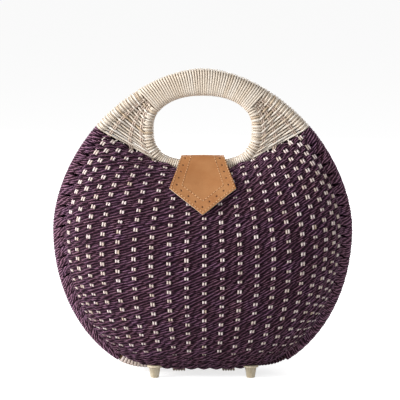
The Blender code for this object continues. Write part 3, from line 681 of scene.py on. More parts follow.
def turn_tones(turns, spread=0.25):
    """A random tone for each turn of a winding, blended into the next along it."""
    levels = wavering(int(turns[-1]) + 2, spread)
    return np.interp(turns, np.arange(len(levels)), levels)


def drift(count, samples, size, knots=14):
    """Slow random wandering along strands, about a size either way, eased between its knots."""
    marks = chance.standard_normal((count, knots)) * size
    place = np.linspace(0, knots - 1.001, samples)
    near = place.astype(int)
    part = place - near
    part = part * part * (3 - 2 * part)
    return marks[:, near] * (1 - part) + marks[:, near + 1] * part


def middle_row_profile():
    """The shell's middle stake as (depth, height), from the ring down to the rim.

    As the angle runs over half a turn, the depth goes from its start to the deepest with the
    sine, and the height from the top to the bottom with the cosine, both raised to two over the
    shell's power.
    """
    top_depth = RIM_OFFSET + SEAT_RADIUS * math.sin(SHELL_TOP_SEAT)
    top_height = RING_BOTTOM_HEIGHT - SEAT_RADIUS * math.cos(SHELL_TOP_SEAT)
    bottom_depth = RIM_OFFSET + SEAT_RADIUS * math.sin(SHELL_BOTTOM_SEAT)
    bottom_height = RIM_BOTTOM_HEIGHT + SEAT_RADIUS * math.cos(SHELL_BOTTOM_SEAT)
    turn = np.linspace(0, math.pi, SAMPLES)
    upper = turn < math.pi / 2
    share = np.where(upper, 2 / SHELL_UPPER_POWER, 2 / SHELL_LOWER_POWER)
    out = np.clip(np.sin(turn), 0, 1) ** share
    rise = np.sign(np.cos(turn)) * np.abs(np.cos(turn)) ** share
    start = np.where(upper, top_depth, bottom_depth)
    span = np.where(upper, top_height - SHELL_DEEPEST_HEIGHT, SHELL_DEEPEST_HEIGHT - bottom_height)
    return np.stack([start + (SHELL_DEPTH - start) * out, SHELL_DEEPEST_HEIGHT + span * rise], axis=-1)


MIDDLE = middle_row_profile()
MIDDLE_LENGTH = running_length(MIDDLE)[-1]


def shell_surface(across, rows, side):
    """Middle surface of the woven shell at shares across (-1 to 1) and down (0 to 1).

    A row runs from rim to rim, and its x is a share of its half width. Its height goes from the
    middle stake to the rim with the share raised to a power. Its depth goes with an oval: one
    minus the share raised to the fullness, and that raised to one over the fullness.
    """
    rim_length = RIM_WEAVE_START + rows * (SHELL_RIM_END - RIM_WEAVE_START)
    on_rim = points_at(RIM, rim_length) + SEAT_RADIUS * math.cos(SHELL_SIDE_SEAT) * inward(RIM, rim_length)
    edge_depth = RIM_OFFSET + SEAT_RADIUS * math.sin(SHELL_SIDE_SEAT)
    middle = points_at(MIDDLE, rows * MIDDLE_LENGTH)
    power = ROW_TOP_POWER + (ROW_BOTTOM_POWER - ROW_TOP_POWER) * rows**2
    share = np.abs(across)
    height = middle[..., 1] + (on_rim[..., 1] - middle[..., 1]) * share**power
    fullness = np.clip(1 - share**ROW_FULLNESS, 0, 1) ** (1 / ROW_FULLNESS)
    depth = edge_depth + (middle[..., 0] - edge_depth) * fullness
    return np.stack([across * on_rim[..., 0], side * depth, height], axis=-1)


def shell_normals(across, rows, side):
    """Outward unit normals of the shell, from small steps across and down."""
    step = 0.004
    inner = np.clip(across, -1 + 2 * step, 1 - 2 * step)
    level = np.clip(rows, step, 1 - step)
    along = shell_surface(inner + step, level, side) - shell_surface(inner - step, level, side)
    down = shell_surface(inner, level + step, side) - shell_surface(inner, level - step, side)
    return unit(np.cross(along, down) * side)


def row_line(level, across):
    """Where a row lies down the shell at a share across.

    It is further down by the sag times its place, times one minus its place, times the share cubed.
    """
    return level + ROW_SAG * level * (1 - level) * np.abs(across) ** 3


def swing(turns):
    """A zigzag between -1 and 1 with rounded peaks, at its top where turns is even."""
    return np.arcsin(0.96 * np.cos(math.pi * turns)) / math.asin(0.96)


def over_the_rim(start, along, level, hand, side):
    """The end of each cord: a smooth curve from the shell to the rim, then round the rim.

    The curve is cubic, with the cord's direction at one end and the rim's at the other, and
    it gathers the cords in fours. Round the rim, a point stands off the rim's centre line by the
    radius, times the angle's cosine inwards plus its sine out of the bag.
    """
    weave_run = RIM_WEAVE_END - WINDING_GAP - RIM_WEAVE_START
    reach = RIM_WEAVE_START + row_line(level, 1.0) * weave_run
    length = hand * reach
    centre = stand(outline(RIM, length), side * RIM_OFFSET)
    toward = stand(inward(RIM, length), 0.0)
    outward = np.broadcast_to(side * DEPTHWISE, toward.shape)
    radius = WRAP_RADIUS - CORD_FLAT_RADIUS - BEDDING
    angle = np.linspace(RIM_CONTACT, RIM_TURN_END, RIM_SAMPLES)[None, :, None]
    out = np.cos(angle) * toward + np.sin(angle) * outward
    ring = centre + radius * out
    heading = -math.sin(RIM_CONTACT) * toward + math.cos(RIM_CONTACT) * outward
    span = np.linalg.norm(ring[:, :1] - start, axis=-1, keepdims=True) * BEND_PULL
    share = BEND_SHARES
    body = start * (2 * share**3 - 3 * share**2 + 1) + ring[:, :1] * (3 * share**2 - 2 * share**3)
    body = body + (share**3 - 2 * share**2 + share) * along * span + (share**3 - share**2) * heading * span
    number = np.arange(len(level))[:, None]
    calm = np.clip(np.minimum(number, len(level) - 1 - number) / CALM_ROWS, 0, 1)
    gather = ((number - 1) % 4 - 1.5) * np.gradient(reach, axis=0) * calm
    run = unit(np.gradient(centre, axis=0))
    body = body - RIM_GATHER * (gather * np.sin(share[..., 0] * math.pi))[..., None] * run
    return np.concatenate([body, ring], axis=1), out


def weft_paths(level, side):
    """Paths of the cords from rim to rim, their outward directions, and their swing over the stakes.

    A cord lies on the shell's row. It is lifted off it by a height times a zigzag of the stakes'
    number plus the row's, and its ends go over the rim.
    """
    number = np.arange(len(level))[:, None]
    place = np.linspace(-1, 1, CORD_SAMPLES)[None]
    turn = EDGE_TURN * ((1 - CORD_SAMPLE_EASE) * place + CORD_SAMPLE_EASE * place**3)
    across, rows = np.broadcast_arrays(np.sin(turn), level)
    rows = row_line(rows, across)
    phase = swing(np.interp(turn, STAKE_TURNS, STAKE_NUMBERS) + number // 2)
    apart = CORD_SPREAD * np.clip(phase, 0, 1) * np.where(number % 2, 1.0, -1.0)
    apart = apart + drift(len(level), CORD_SAMPLES, CORD_WANDER)
    rows = np.clip(rows + apart / MIDDLE_LENGTH, 0.001, 0.999)
    normals = shell_normals(across, rows, side)
    paths = shell_surface(across, rows, side) + (CORD_LIFT * phase)[..., None] * normals
    ends, turned = [], []
    for hand, last, before in ((LEFT, 0, 1), (RIGHT, -1, -2)):
        along = unit(paths[:, [last]] - paths[:, [before]])
        end, out = over_the_rim(paths[:, [last]], along, level, hand, side)
        bend = unit(normals[:, [last]] * (1 - BEND_SHARES) + out[:, :1] * BEND_SHARES)
        ends.append(end)
        turned.append(np.concatenate([bend, out], axis=1))
    paths = np.concatenate([ends[0][:, ::-1], paths, ends[1]], axis=1)
    normals = np.concatenate([turned[0][:, ::-1], normals, turned[1]], axis=1)
    return paths, normals, phase


def weft(side, prefix, body):
    """The plum cords of a half: rows of two, over one pair of stakes and under the next.

    A cord is thicker where it lies over a stake, and darker where it goes under, as painted shade.
    Over the rim it is paler, partly from rubbing and partly as painted light.
    """
    count = 2 * ROWS
    number = np.arange(count)[:, None]
    level = (number + 0.5 + ROW_WANDER * chance.standard_normal((count, 1))) / count
    paths, normals, phase = weft_paths(level, side)
    margin = ((0, 0), (BEND_SAMPLES + RIM_SAMPLES, BEND_SAMPLES + RIM_SAMPLES))
    swell = np.pad(1 + CORD_SWELL * np.clip(phase, 0, 1), margin, mode="edge")
    steps = np.diff(paths, axis=1, prepend=paths[:, :1])
    reach = np.cumsum(np.linalg.norm(steps, axis=-1), axis=1)
    pitch = RIDGE_PITCH * (1 + LAY_WANDER * chance.standard_normal((count, 1)))
    reach = reach / pitch + chance.random((count, 1))
    samples = np.arange(paths.shape[1])
    from_end = np.minimum(samples, samples[::-1])
    tone = np.clip(0.5 + drift(count, len(samples), CORD_TONE_WANDER, 24), 0, 1)
    # Tone over 1 at the ends, where the cords go over the rim: rubbing and painted light
    tone = tone + RIM_WEAR_AND_LIGHT * np.clip((RIM_SAMPLES + BEND_SAMPLES - from_end) / BEND_SAMPLES, 0, 1)
    # Painted shade: a lower tone where the cord goes under a stake
    tone = tone - np.pad(np.clip(-CORD_SHADE * phase, 0, CORD_SHADE), margin)
    third = math.ceil(count / 3)
    for place, word in enumerate(("upper", "middle", "lower")):
        part = slice(place * third, (place + 1) * third)
        name = f"{prefix}{word}_weft_cords"
        wide, thick = CORD_RADIUS * swell[part], CORD_FLAT_RADIUS * swell[part]
        form = (wide, thick, CORD_SIDES, PLUM_CORD, tone[part], reach[part])
        piece = strands(name, paths[part], normals[part], *form)
        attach(piece, body)
        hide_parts(prefix + "woven_shell")


def stakes(side, prefix, body):
    """The pairs of cane stakes of a half, which show between the cords as pale dashes.

    A stake runs down the shell's middle surface, lifted by a zigzag against the cords'. Near the
    bottom it sinks behind them, where the photo shows no stakes.
    """
    number = np.repeat(np.arange(STAKES), 2)[:, None]
    beside = np.tile([-1.0, 1.0], STAKES)[:, None] * STAKE_SPREAD
    across = np.sin(np.interp(number, STAKE_NUMBERS, STAKE_TURNS))
    across, level = np.broadcast_arrays(across, np.linspace(0.002, 0.999, STAKE_SAMPLES)[None])
    rows = row_line(level, across)
    normals = shell_normals(across, rows, side)
    middle = shell_surface(across, rows, side)
    down = unit(np.gradient(middle, axis=1))
    hidden = np.clip((STAKE_SUNK_HEIGHT - middle[..., 2]) / STAKE_SUNK_BLEND, 0, 1)
    lift = -STAKE_LIFT * swing(number + level * ROWS - 0.5) - STAKE_SUNK * hidden
    paths = middle + np.cross(down, normals) * beside[..., None] + lift[..., None] * normals
    tone = np.clip(STAKE_TONE + drift(2 * STAKES, STAKE_SAMPLES, STAKE_TONE_WANDER, 30), 0, 1)
    name = f"{prefix}stakes"
    piece = strands(name, paths, normals, STAKE_RADIUS, STAKE_RADIUS, 6, STAKE_CANE, tone)
    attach(piece, body)


def wound_rod(half, start, end, pitch, radius, side):
    """A strand wound round a rod: its point runs along the outline while it turns round it.

    Its place along the outline goes on by one pitch each turn, and it stands off the outline by
    the radius, times the angle's cosine into the oval plus its sine out of the bag.
    """
    turns = max(1, round(abs(end - start) / pitch))
    share = np.linspace(0, 1, turns * TURN_SAMPLES + 1)
    lengths = start + share * (end - start)
    angle = share * turns * 2 * math.pi
    toward = stand(inward(half, lengths), 0.0)
    out = np.cos(angle)[:, None] * toward + side * np.sin(angle)[:, None] * DEPTHWISE
    return stand(outline(half, lengths), side * RIM_OFFSET) + radius * out, out, share * turns


def cane_winding(name, half, start, end, side, body, node_name, sunk, pitch=CANE_PITCH, surface=CANE):
    """Cane wound close round a stretch of the rim or the ring."""
    radius = WRAP_RADIUS - CANE_HALF_THICKNESS - sunk
    path, out, turns = wound_rod(half, start, end, pitch, radius, side)
    wide, thick, tone = pitch * CANE_FILL, CANE_HALF_THICKNESS, turn_tones(turns, CANE_TONE_WANDER)
    piece = strands(name, path[None], out[None], wide, thick, CANE_SIDES, surface, tone)
    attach(piece, body)
    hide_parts(node_name)


def cord_winding(name, start, end, side, body, node_name):
    """Plum cord wound close round the side of the rim."""
    path, out, turns = wound_rod(RIM, start, end, FLANK_PITCH, FLANK_RADIUS, side)
    wide, thick, tone = CORD_RADIUS, CORD_FLAT_RADIUS, turn_tones(turns)
    ridges = (running_length(path) / RIDGE_PITCH)[None]
    piece = strands(name, path[None], out[None], wide, thick, CORD_SIDES, PLUM_CORD, tone, ridges)
    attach(piece, body)
    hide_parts(node_name)


def rim_windings(side, prefix, body):
    """What is wound on the rim and the ring: plum at the flanks, natural cane elsewhere.

    As in the photo, the plum of the right flank runs on to the foot.
    """
    for (word, hand), plum_end in zip(HANDS, (RIM_WEAVE_END, RIGHT_PLUM_END)):
        name, node_name = f"{prefix}corner_winding_{word}", f"{prefix}rim_corner_wrap_{word}"
        start, end = hand * (RIM_ARCH_END + WINDING_GAP), hand * RIM_WEAVE_START
        cane_winding(name, RIM, start, end, side, body, node_name, WINDING_SUNK)
        name, node_name = f"{prefix}flank_winding_{word}", f"{prefix}rim_wrap_{word}"
        cord_winding(name, hand * RIM_WEAVE_START, hand * plum_end, side, body, node_name)
    name, node_name = f"{prefix}bottom_winding", f"{prefix}rim_wrap_bottom"
    start, end = RIGHT_PLUM_END, 2 * RIM_LENGTH - RIM_WEAVE_END
    cane_winding(name, RIM, start, end, side, body, node_name, 0.0, BOTTOM_PITCH, STAKE_CANE)
    name, node_name = f"{prefix}ring_winding", f"{prefix}ring_wrap"
    start = RING_ARCH_END + WINDING_GAP
    cane_winding(name, RING, start, 2 * RING_LENGTH - start, side, body, node_name, WINDING_SUNK)


def wound_pair(near, far, radius, square):
    """A strand wound round two rods: half a turn round the far one, across, half round the near one.

    Both rods are given at every sample of the strand. A point stands off its rod by the radius,
    times the angle's cosine away from the other rod plus its sine square to both rods, which is
    opposite on each.
    """
    step = np.arange(len(near)) % (2 * HALF_TURN_SAMPLES)
    round_far = (step < HALF_TURN_SAMPLES)[:, None]
    turn = ((step % HALF_TURN_SAMPLES) / (HALF_TURN_SAMPLES - 1) - 1 / 2)[:, None] * math.pi
    out = (unit(far - near) * np.cos(turn) + square * np.sin(turn)) * np.where(round_far, 1.0, -1.0)
    return np.where(round_far, far, near) + radius * out, out


def handle_arch(side, prefix, body):
    """The close winding of cane that binds the ring to the rim as a handle."""
    share = np.linspace(0, 1, ARCH_LOOPS * 2 * HALF_TURN_SAMPLES)
    ring = stand(outline(RING, (2 * share - 1) * RING_ARCH_END), side * RIM_OFFSET)
    rim = stand(outline(RIM, (2 * share - 1) * RIM_ARCH_END), side * RIM_OFFSET)
    path, out = wound_pair(ring, rim, ARCH_RADIUS - CANE_HALF_THICKNESS, side * DEPTHWISE)
    name, wide, thick = prefix + "handle_binding", ARCH_HALF_STRAND, CANE_HALF_THICKNESS
    tone = turn_tones(share * ARCH_LOOPS, ARCH_TONE_WANDER)
    piece = strands(name, path[None], out[None], wide, thick, CANE_SIDES, CANE, tone)
    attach(piece, body)
    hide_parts(prefix + "handle_winding")


def lashings():
    """The two bindings round both rims at the bottom, on which the bag opens."""
    height = points_at(RIM, RIM_LENGTH - LASHING_PLACE)[1]
    share = np.linspace(0, 1, LASHING_LOOPS * 2 * HALF_TURN_SAMPLES)
    for word, hand in HANDS:
        x = hand * LASHING_PLACE + (share - 1 / 2) * LASHING_WIDTH
        flat = np.stack([x, np.full_like(x, height)], axis=-1)
        front, back = stand(flat, FRONT * RIM_OFFSET), stand(flat, BACK * RIM_OFFSET)
        path, out = wound_pair(front, back, LASHING_RADIUS, UPWARD)
        wide, thick, name = LASHING_HALF_STRAND, LASHING_HALF_THICKNESS, "bottom_lashing_" + word
        # The strands take tone 0, the darkest of the stake cane, as painted shade under the bag
        piece = strands(name, path[None], out[None], wide, thick, CANE_SIDES, STAKE_CANE, 0.0)
        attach(piece, "back_shell")
        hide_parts("hinge_lashing_" + word)


def round_end(half, lengths, towards):
    """The end of a cane weft: from a rod's side towards the panel, over its outside and round it.

    A point stands off the rod by the radius, times the angle's cosine towards the panel plus its
    sine out of the bag.
    """
    angle = np.linspace(CORNER_END_START, CORNER_END_STOP, 13)[None, :, None]
    centre = stand(outline(half, lengths), RIM_OFFSET)
    out = np.cos(angle) * stand(inward(half, lengths) * towards, 0.0) + np.sin(angle) * DEPTHWISE
    return centre + (WRAP_RADIUS - CANE_HALF_THICKNESS) * out, out


def panel_ends(down):
    """Ends of wefts round the rim, then round the ring, at shares down a corner panel."""
    rim_run = RIM_WEAVE_START - RIM_ARCH_END - CORNER_TUCK
    ring_run = RING_PANEL_END - RING_ARCH_END - CORNER_TUCK
    on_rim = round_end(RIM, RIM_ARCH_END - CORNER_TUCK + down * rim_run, 1.0)
    return on_rim, round_end(RING, RING_ARCH_END - CORNER_TUCK + down * ring_run, -1.0)


def panel_points(down, over):
    """Points of a corner panel, straight from the ring to the rim but for a hollow between them.

    The hollow is a depth times the sine of half a turn from one to the other.
    """
    (rim_end, _), (ring_end, _) = panel_ends(down)
    flat = ring_end[:, :1] * (1 - over)[..., None] + rim_end[:, :1] * over[..., None]
    return flat - DEPTHWISE * (CORNER_HOLLOW * np.sin(over * math.pi))[..., None]


def corner_wefts():
    """Wefts of the back's right corner panel, and their outward directions.

    A weft is lifted by a zigzag over the stakes, and goes round both rods at its ends.
    """
    number = np.arange(CORNER_WEFTS)[:, None]
    down = (number + 0.5) / CORNER_WEFTS
    over = np.linspace(0, 1, 31)[None, 1:-1]
    place = np.interp(over, np.concatenate([[0], CORNER_STAKE_SHARES, [1]]), [-0.5, 0, 1, 2, 2.5])
    calm = np.clip(np.minimum(over, 1 - over) * 12, 0, 1)
    middle = panel_points(down, np.broadcast_to(over, (CORNER_WEFTS, over.shape[1])))
    middle[..., 1] += CORNER_WEFT_LIFT * swing(place + number) * calm
    (rim_end, rim_out), (ring_end, ring_out) = panel_ends(down)
    outward = np.broadcast_to(DEPTHWISE, middle.shape)
    paths = np.concatenate([ring_end[:, ::-1], middle, rim_end], axis=1)
    return paths, np.concatenate([ring_out[:, ::-1], outward, rim_out], axis=1)


def corner_stakes():
    """Pairs of stakes down the back's right corner panel, and on a little way under the cords."""
    count = len(CORNER_STAKE_SHARES)
    down = np.linspace(0.0, 1.0, CORNER_STAKE_SAMPLES)[:, None]
    number = np.repeat(np.arange(count), 2)[:, None]
    lines = panel_points(down, np.broadcast_to(CORNER_STAKE_SHARES, (CORNER_STAKE_SAMPLES, count)))
    paths = lines[:, number[:, 0]].transpose(1, 0, 2)
    run = unit(np.gradient(paths, axis=1))
    beside = np.tile([-1.0, 1.0], count)[:, None, None] * CORNER_STAKE_SPREAD
    paths = paths + np.cross(run, DEPTHWISE) * beside
    paths[..., 1] -= CORNER_STAKE_LIFT * (1 + swing(number + down.T * CORNER_WEFTS - 0.5))
    stub = paths[:, -1:] + run[:, -1:] * np.linspace(0.001, 0.005, 5)[None, :, None]
    return np.concatenate([paths, stub], axis=1)


def loose_ends():
    """Ends of cane that stand out of the cords under a corner panel, at random leans and lengths."""
    count = LOOSE_END_SHARES.shape[1]
    root = panel_points(np.array([[1.0]]), LOOSE_END_SHARES)[0][:, None]
    onward = unit(root - panel_points(np.array([[0.9]]), LOOSE_END_SHARES)[0][:, None])
    beside = np.cross(onward, DEPTHWISE)
    lean = chance.uniform(-LOOSE_END_LEAN, LOOSE_END_LEAN, (count, 1, 1))
    reach = np.linspace(0.0, 1.0, 7)[None, :, None] * chance.uniform(*LOOSE_END_LENGTHS, (count, 1, 1))
    ends = root + reach * (onward * np.cos(lean) + beside * np.sin(lean))
    return ends + DEPTHWISE * (LOOSE_END_OFFSET + LOOSE_END_RISE * reach)


def corner_panels(side, prefix, body):
    """Cane woven between the ring and the rim: wefts over pairs of stakes, with loose ends below.

    One panel is worked out on the right of the back half, and mirrored to its place.
    """
    wefts, weft_normals = corner_wefts()
    for word, hand in HANDS:
        mirror = np.array([hand, side, 1.0])
        name, wide, thick = f"{prefix}corner_wefts_{word}", CORNER_WEFT_HALF_WIDTH, CANE_HALF_THICKNESS
        paths, outward, tone = wefts * mirror, weft_normals * mirror, wavering(CORNER_WEFTS)[:, None]
        piece = strands(name, paths, outward, wide, thick, CANE_SIDES, CANE, tone)
        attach(piece, body)
        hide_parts(f"{prefix}corner_panel_{word}")
        stake_form = (CORNER_STAKE_RADIUS, CORNER_STAKE_RADIUS, CANE_SIDES, STAKE_CANE, CORNER_STAKE_TONE)
        end_form = (LOOSE_END_HALF_WIDTH, LOOSE_END_HALF_THICKNESS, 6, CANE, LOOSE_END_TONE)
        for name, paths, form in (
            ("corner_stakes", corner_stakes(), stake_form),
            ("loose_ends", loose_ends(), end_form),
        ):
            outward = np.broadcast_to(side * DEPTHWISE, paths.shape)
            piece = strands(f"{prefix}{name}_{word}", paths * mirror, outward, *form)
            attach(piece, body)


def cloth_grid(name, points, surface, thickness, values=None, edge=None):
    """A sheet over a grid of points, solidified to its thickness, with its edge in its own material."""
    index = np.arange(points.shape[0] * points.shape[1]).reshape(points.shape[:2])
    corners = (index[:-1, :-1], index[1:, :-1], index[1:, 1:], index[:-1, 1:])
    faces = np.stack(corners, axis=-1).reshape(-1, 4)
    item = fill_mesh(name, points.reshape(-1, 3), [faces], surface, values or {})
    solid = item.modifiers.new("thickness", "SOLIDIFY")
    solid.thickness = thickness
    solid.offset = 0
    if edge:
        item.data.materials.append(edge)
        solid.material_offset_rim = 1
    return item


def linings(side, prefix, body):
    """The cotton inside a half, following the basketwork at an even distance, sewn to the rim."""
    turn = np.linspace(-math.pi / 2, math.pi / 2, 57)[2:-2]
    across, rows = np.meshgrid(np.sin(turn), LINING_ROWS, indexing="ij")
    points = shell_surface(across, rows, side) - LINING_INSET * shell_normals(across, rows, side)
    rim_length = RIM_WEAVE_START + rows[0] * (SHELL_RIM_END - RIM_WEAVE_START)
    flat = points_at(RIM, rim_length) + LINING_SEAM * inward(RIM, rim_length)
    seam = stand(flat, side * RIM_OFFSET)[None]
    points = np.concatenate([seam * np.array([LEFT, 1.0, 1.0]), points, seam])
    if side == BACK:
        points = points[::-1]
    piece = cloth_grid(prefix + "cotton_lining", points, LINING, LINING_THICKNESS)
    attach(piece, body)
    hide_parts(prefix + "lining")


def gussets():
    """The cloth at each side, folded once between the rims.

    A leaf lies flat between the rim and a straight fold. At both its ends it is as wide as half
    the gap between the open rims: the height over the hinge times the sine of half the opening.
    """
    top, bottom = (length_at_height(RIM, height) for height in GUSSET_HEIGHTS)
    lengths = np.linspace(top, bottom, GUSSET_SAMPLES)
    edge = outline(RIM, lengths) + GUSSET_SEAM * inward(RIM, lengths)
    leaf = (GUSSET_HEIGHTS - RIM_BOTTOM_HEIGHT) * math.sin(FULL_OPENING / 2)
    ends = edge[[0, -1]] + leaf[:, None] * inward(RIM, lengths[[0, -1]])
    fold = ends[0] + (ends[1] - ends[0]) * np.linspace(0, 1, GUSSET_SAMPLES)[:, None]
    v = np.linspace(-1, 1, 65)
    share = np.abs(v)[None, :, None]
    flat = edge[:, None] * share + fold[:, None] * (1 - share)
    for word, hand in HANDS:
        points = stand(flat * np.array([hand, 1.0]), v[None] * GUSSET_HALF_GAP)
        piece = cloth_grid(f"side_gusset_{word}", points, LINING, GUSSET_THICKNESS)
        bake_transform(piece)
        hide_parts("gusset_" + word)


def side_view(x, clearance, side):
    """Side view (y, z) of leather at an x: an arc over a ring, and a line down the shell.

    The line keeps an even distance from the shell, and the arc ends where it meets the line's start.
    """
    rows = LEATHER_ROWS
    radius = WRAP_RADIUS + RING_CLEARANCE + clearance
    centre = np.array([side * RIM_OFFSET, RING_BOTTOM_HEIGHT])
    edge = shell_surface(np.ones_like(rows), rows, side)
    line = shell_surface(x / edge[:, 0], rows, side)[:, 1:]
    along = unit(np.gradient(line, axis=0))
    out = side * np.stack([-along[:, 1], along[:, 0]], axis=-1)
    down = line + (SHELL_HALF_THICKNESS + SHELL_CLEARANCE + clearance) * out
    away = down[0] - centre
    leave = math.atan2(side * away[0], away[1]) - math.acos(radius / np.linalg.norm(away))
    turn = np.linspace(0, leave, 24)
    return centre + radius * np.stack([side * np.sin(turn), np.cos(turn)], axis=-1), down


def flap_tables(clearance):
    """Side views of a layer of the flap at several x, each from the fold over the back ring."""
    widths = np.linspace(-FLAP_CORNER_HALF_WIDTH, FLAP_CORNER_HALF_WIDTH, 35)
    views = []
    for x in widths:
        bend, down = side_view(x, clearance, FRONT)
        fold = np.array([[RIM_OFFSET - FOLD_GAP, bend[0, 1]]])
        views.append(np.concatenate([fold, bend, down]))
    return widths, views


def flap_lengths(views):
    """Lengths along the middle of a layer to its ring, its corners and its point."""
    middle = views[len(views) // 2]
    reach = running_length(middle)
    front = middle[:, 0] < -RIM_OFFSET
    corner, tip = np.interp([-FLAP_CORNER_HEIGHT, -FLAP_TIP_HEIGHT], -middle[front, 1], reach[front])
    return float(reach[front][0]), float(corner), float(tip)


def bulge(x, length):
    """How far the leather stands up off the ring at its middle.

    It is the bulge's height times one minus the square of x over the half width, times the sine
    of half a turn over the bulge's reach.
    """
    across = np.clip(1 - (x / FLAP_TOP_HALF_WIDTH) ** 2, 0, 1)
    return BULGE_HEIGHT * across * np.sin(math.pi * np.clip(length / BULGE_REACH, 0, 1))


def flap_points(x, length, widths, views):
    """Points of a leather layer at x and at a length from the fold, between its side views."""
    steps = np.linspace(0, FLAP_REACH, 361)
    table = np.stack([points_at(view, steps) for view in views])
    place = np.clip((x - widths[0]) / (widths[1] - widths[0]), 0, len(widths) - 1.001)
    near = place.astype(int)
    part = (place - near)[..., None]
    step = np.clip(length / steps[1], 0, len(steps) - 1.001)
    low = step.astype(int)
    rest = (step - low)[..., None]
    first = table[near, low] * (1 - rest) + table[near, low + 1] * rest
    second = table[near + 1, low] * (1 - rest) + table[near + 1, low + 1] * rest
    view = first * (1 - part) + second * part
    return np.stack([x, view[..., 0], view[..., 1] + bulge(x, length)], axis=-1)


def inset_line(corners, inset):
    """An open line of straight edges, moved inwards by an inset."""
    along = unit(np.diff(corners, axis=0))
    inner = np.stack([along[:, 1], -along[:, 0]], axis=-1) * inset
    starts = corners[:-1] + inner
    found = [starts[0]]
    for before, after, first, second in zip(starts[:-1], starts[1:], along[:-1], along[1:]):
        share = np.linalg.solve(np.stack([first, -second], axis=-1), after - before)[0]
        found.append(before + share * first)
    found.append(corners[-1] + inner[-1])
    return np.array(found)


def evenly(line, pitch):
    """Points along a line about a pitch apart, with the line's middle among them."""
    total = running_length(line)[-1]
    count = 2 * int(total / 2 / pitch) + 1
    return points_at(line, total / 2 + (np.arange(count) - count // 2) * pitch)


def flap_outline(fold, corner, tip):
    """Corners of the flat flap as (x, length from the fold), from its left top to its right top."""
    right = np.array(
        [
            (0, tip),
            (FLAP_CORNER_HALF_WIDTH, corner),
            (FLAP_TOP_HALF_WIDTH + FLAP_FOLD_WIDENING, fold),
            (FLAP_TOP_HALF_WIDTH, 0),
        ]
    )
    return np.concatenate([right[:0:-1] * [LEFT, 1.0], right])


def punch(points, x, length, corners):
    """Punched holes along the flap's edges, and how much painted shade darkens them.

    Both go with the exponential of minus the sixth power of the distance from a hole's middle
    over its radius.
    """
    holes = evenly(inset_line(corners, HOLE_INSET), HOLE_PITCH)
    away = np.hypot(x[..., None] - holes[:, 0], length[..., None] - holes[:, 1]).min(axis=-1)
    punched = np.exp(-((away / HOLE_RADIUS) ** 6))
    normals = unit(np.cross(np.gradient(points, axis=0), np.gradient(points, axis=1)))
    normals *= np.where(normals[..., 1:2] > 0, -1.0, 1.0)
    return points - HOLE_DEPTH * punched[..., None] * normals, punched


def stitches(corners, widths, views):
    """Two rows of short stitches along the flap's edges, and the needle holes between them, drawn as dark
    strips of painted shade.

    A stitch runs from its start by its length along the row, raised in its middle by the sine of
    half a turn, and a needle hole fills the rest of the pitch.
    """
    margins = (STITCH_LENGTH + NEEDLE_MARGIN, STITCH_PITCH - NEEDLE_MARGIN)
    for name, first, last, rise, surface, half_width in (
        ("flap_stitches", 0.0, STITCH_LENGTH, STITCH_RISE, THREAD, STITCH_HALF_WIDTH),
        ("flap_needle_holes", *margins, 0.0, NEEDLE_HOLE, NEEDLE_HALF_WIDTH),
    ):
        found = []
        for inset in STITCH_INSETS:
            line = inset_line(corners, inset)
            starts = np.arange(STITCH_START, running_length(line)[-1] - STITCH_PITCH, STITCH_PITCH)
            flat = points_at(line, starts[:, None] + np.linspace(first, last, 5)[None])
            found.append(flap_points(flat[..., 0], flat[..., 1], widths, views))
        paths = np.concatenate(found)
        beside = np.broadcast_to([1.0, 0.0, 0.0], paths.shape)
        steep = np.gradient(paths, axis=1) - 1e-7 * UPWARD
        out = unit(np.cross(beside, steep * np.array([0.0, 1.0, 1.0])))
        out = out * np.where(out[..., 1:2] > 0, -1.0, 1.0)
        arch = np.sin(np.linspace(0, math.pi, 5))[None, :, None]
        paths = paths + out * (STITCH_REST + rise * arch)
        piece = strands(name, paths, out, half_width, STITCH_HALF_THICKNESS, 6, surface, 0.5)
        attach(piece, "flap")


def flap():
    """The leather flap: a backing, and an outer layer that is punched and stitched along its edges."""
    outer_clearance = BACKING_THICKNESS + LAYER_GAP + OUTER_THICKNESS / 2
    for name, clearance, thickness, node_name in (
        ("flap_leather", outer_clearance, OUTER_THICKNESS, "flap_outer"),
        ("flap_backing_leather", BACKING_THICKNESS / 2, BACKING_THICKNESS, "flap_backing"),
    ):
        widths, views = flap_tables(clearance)
        fold, corner, tip = flap_lengths(views)
        share, row = np.meshgrid(np.linspace(-1, 1, 171), np.linspace(0, 1, 161), indexing="ij")
        length = row * (tip - (tip - corner) * np.abs(share))
        widening = np.clip((length - fold) / (corner - fold), 0, 1) ** FLAP_SIDE_POWER
        x = share * (FLAP_TOP_HALF_WIDTH + (FLAP_CORNER_HALF_WIDTH - FLAP_TOP_HALF_WIDTH) * widening)
        points, punched = flap_points(x, length, widths, views), np.zeros(x.shape)
        if node_name == "flap_outer":
            corners = flap_outline(fold, corner, tip)
            points, punched = punch(points, x, length, corners)
            stitches(corners, widths, views)
        piece = cloth_grid(name, points, LEATHER, thickness, {"punched": punched}, LEATHER_EDGE)
        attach(piece, "flap")
        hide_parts(node_name)


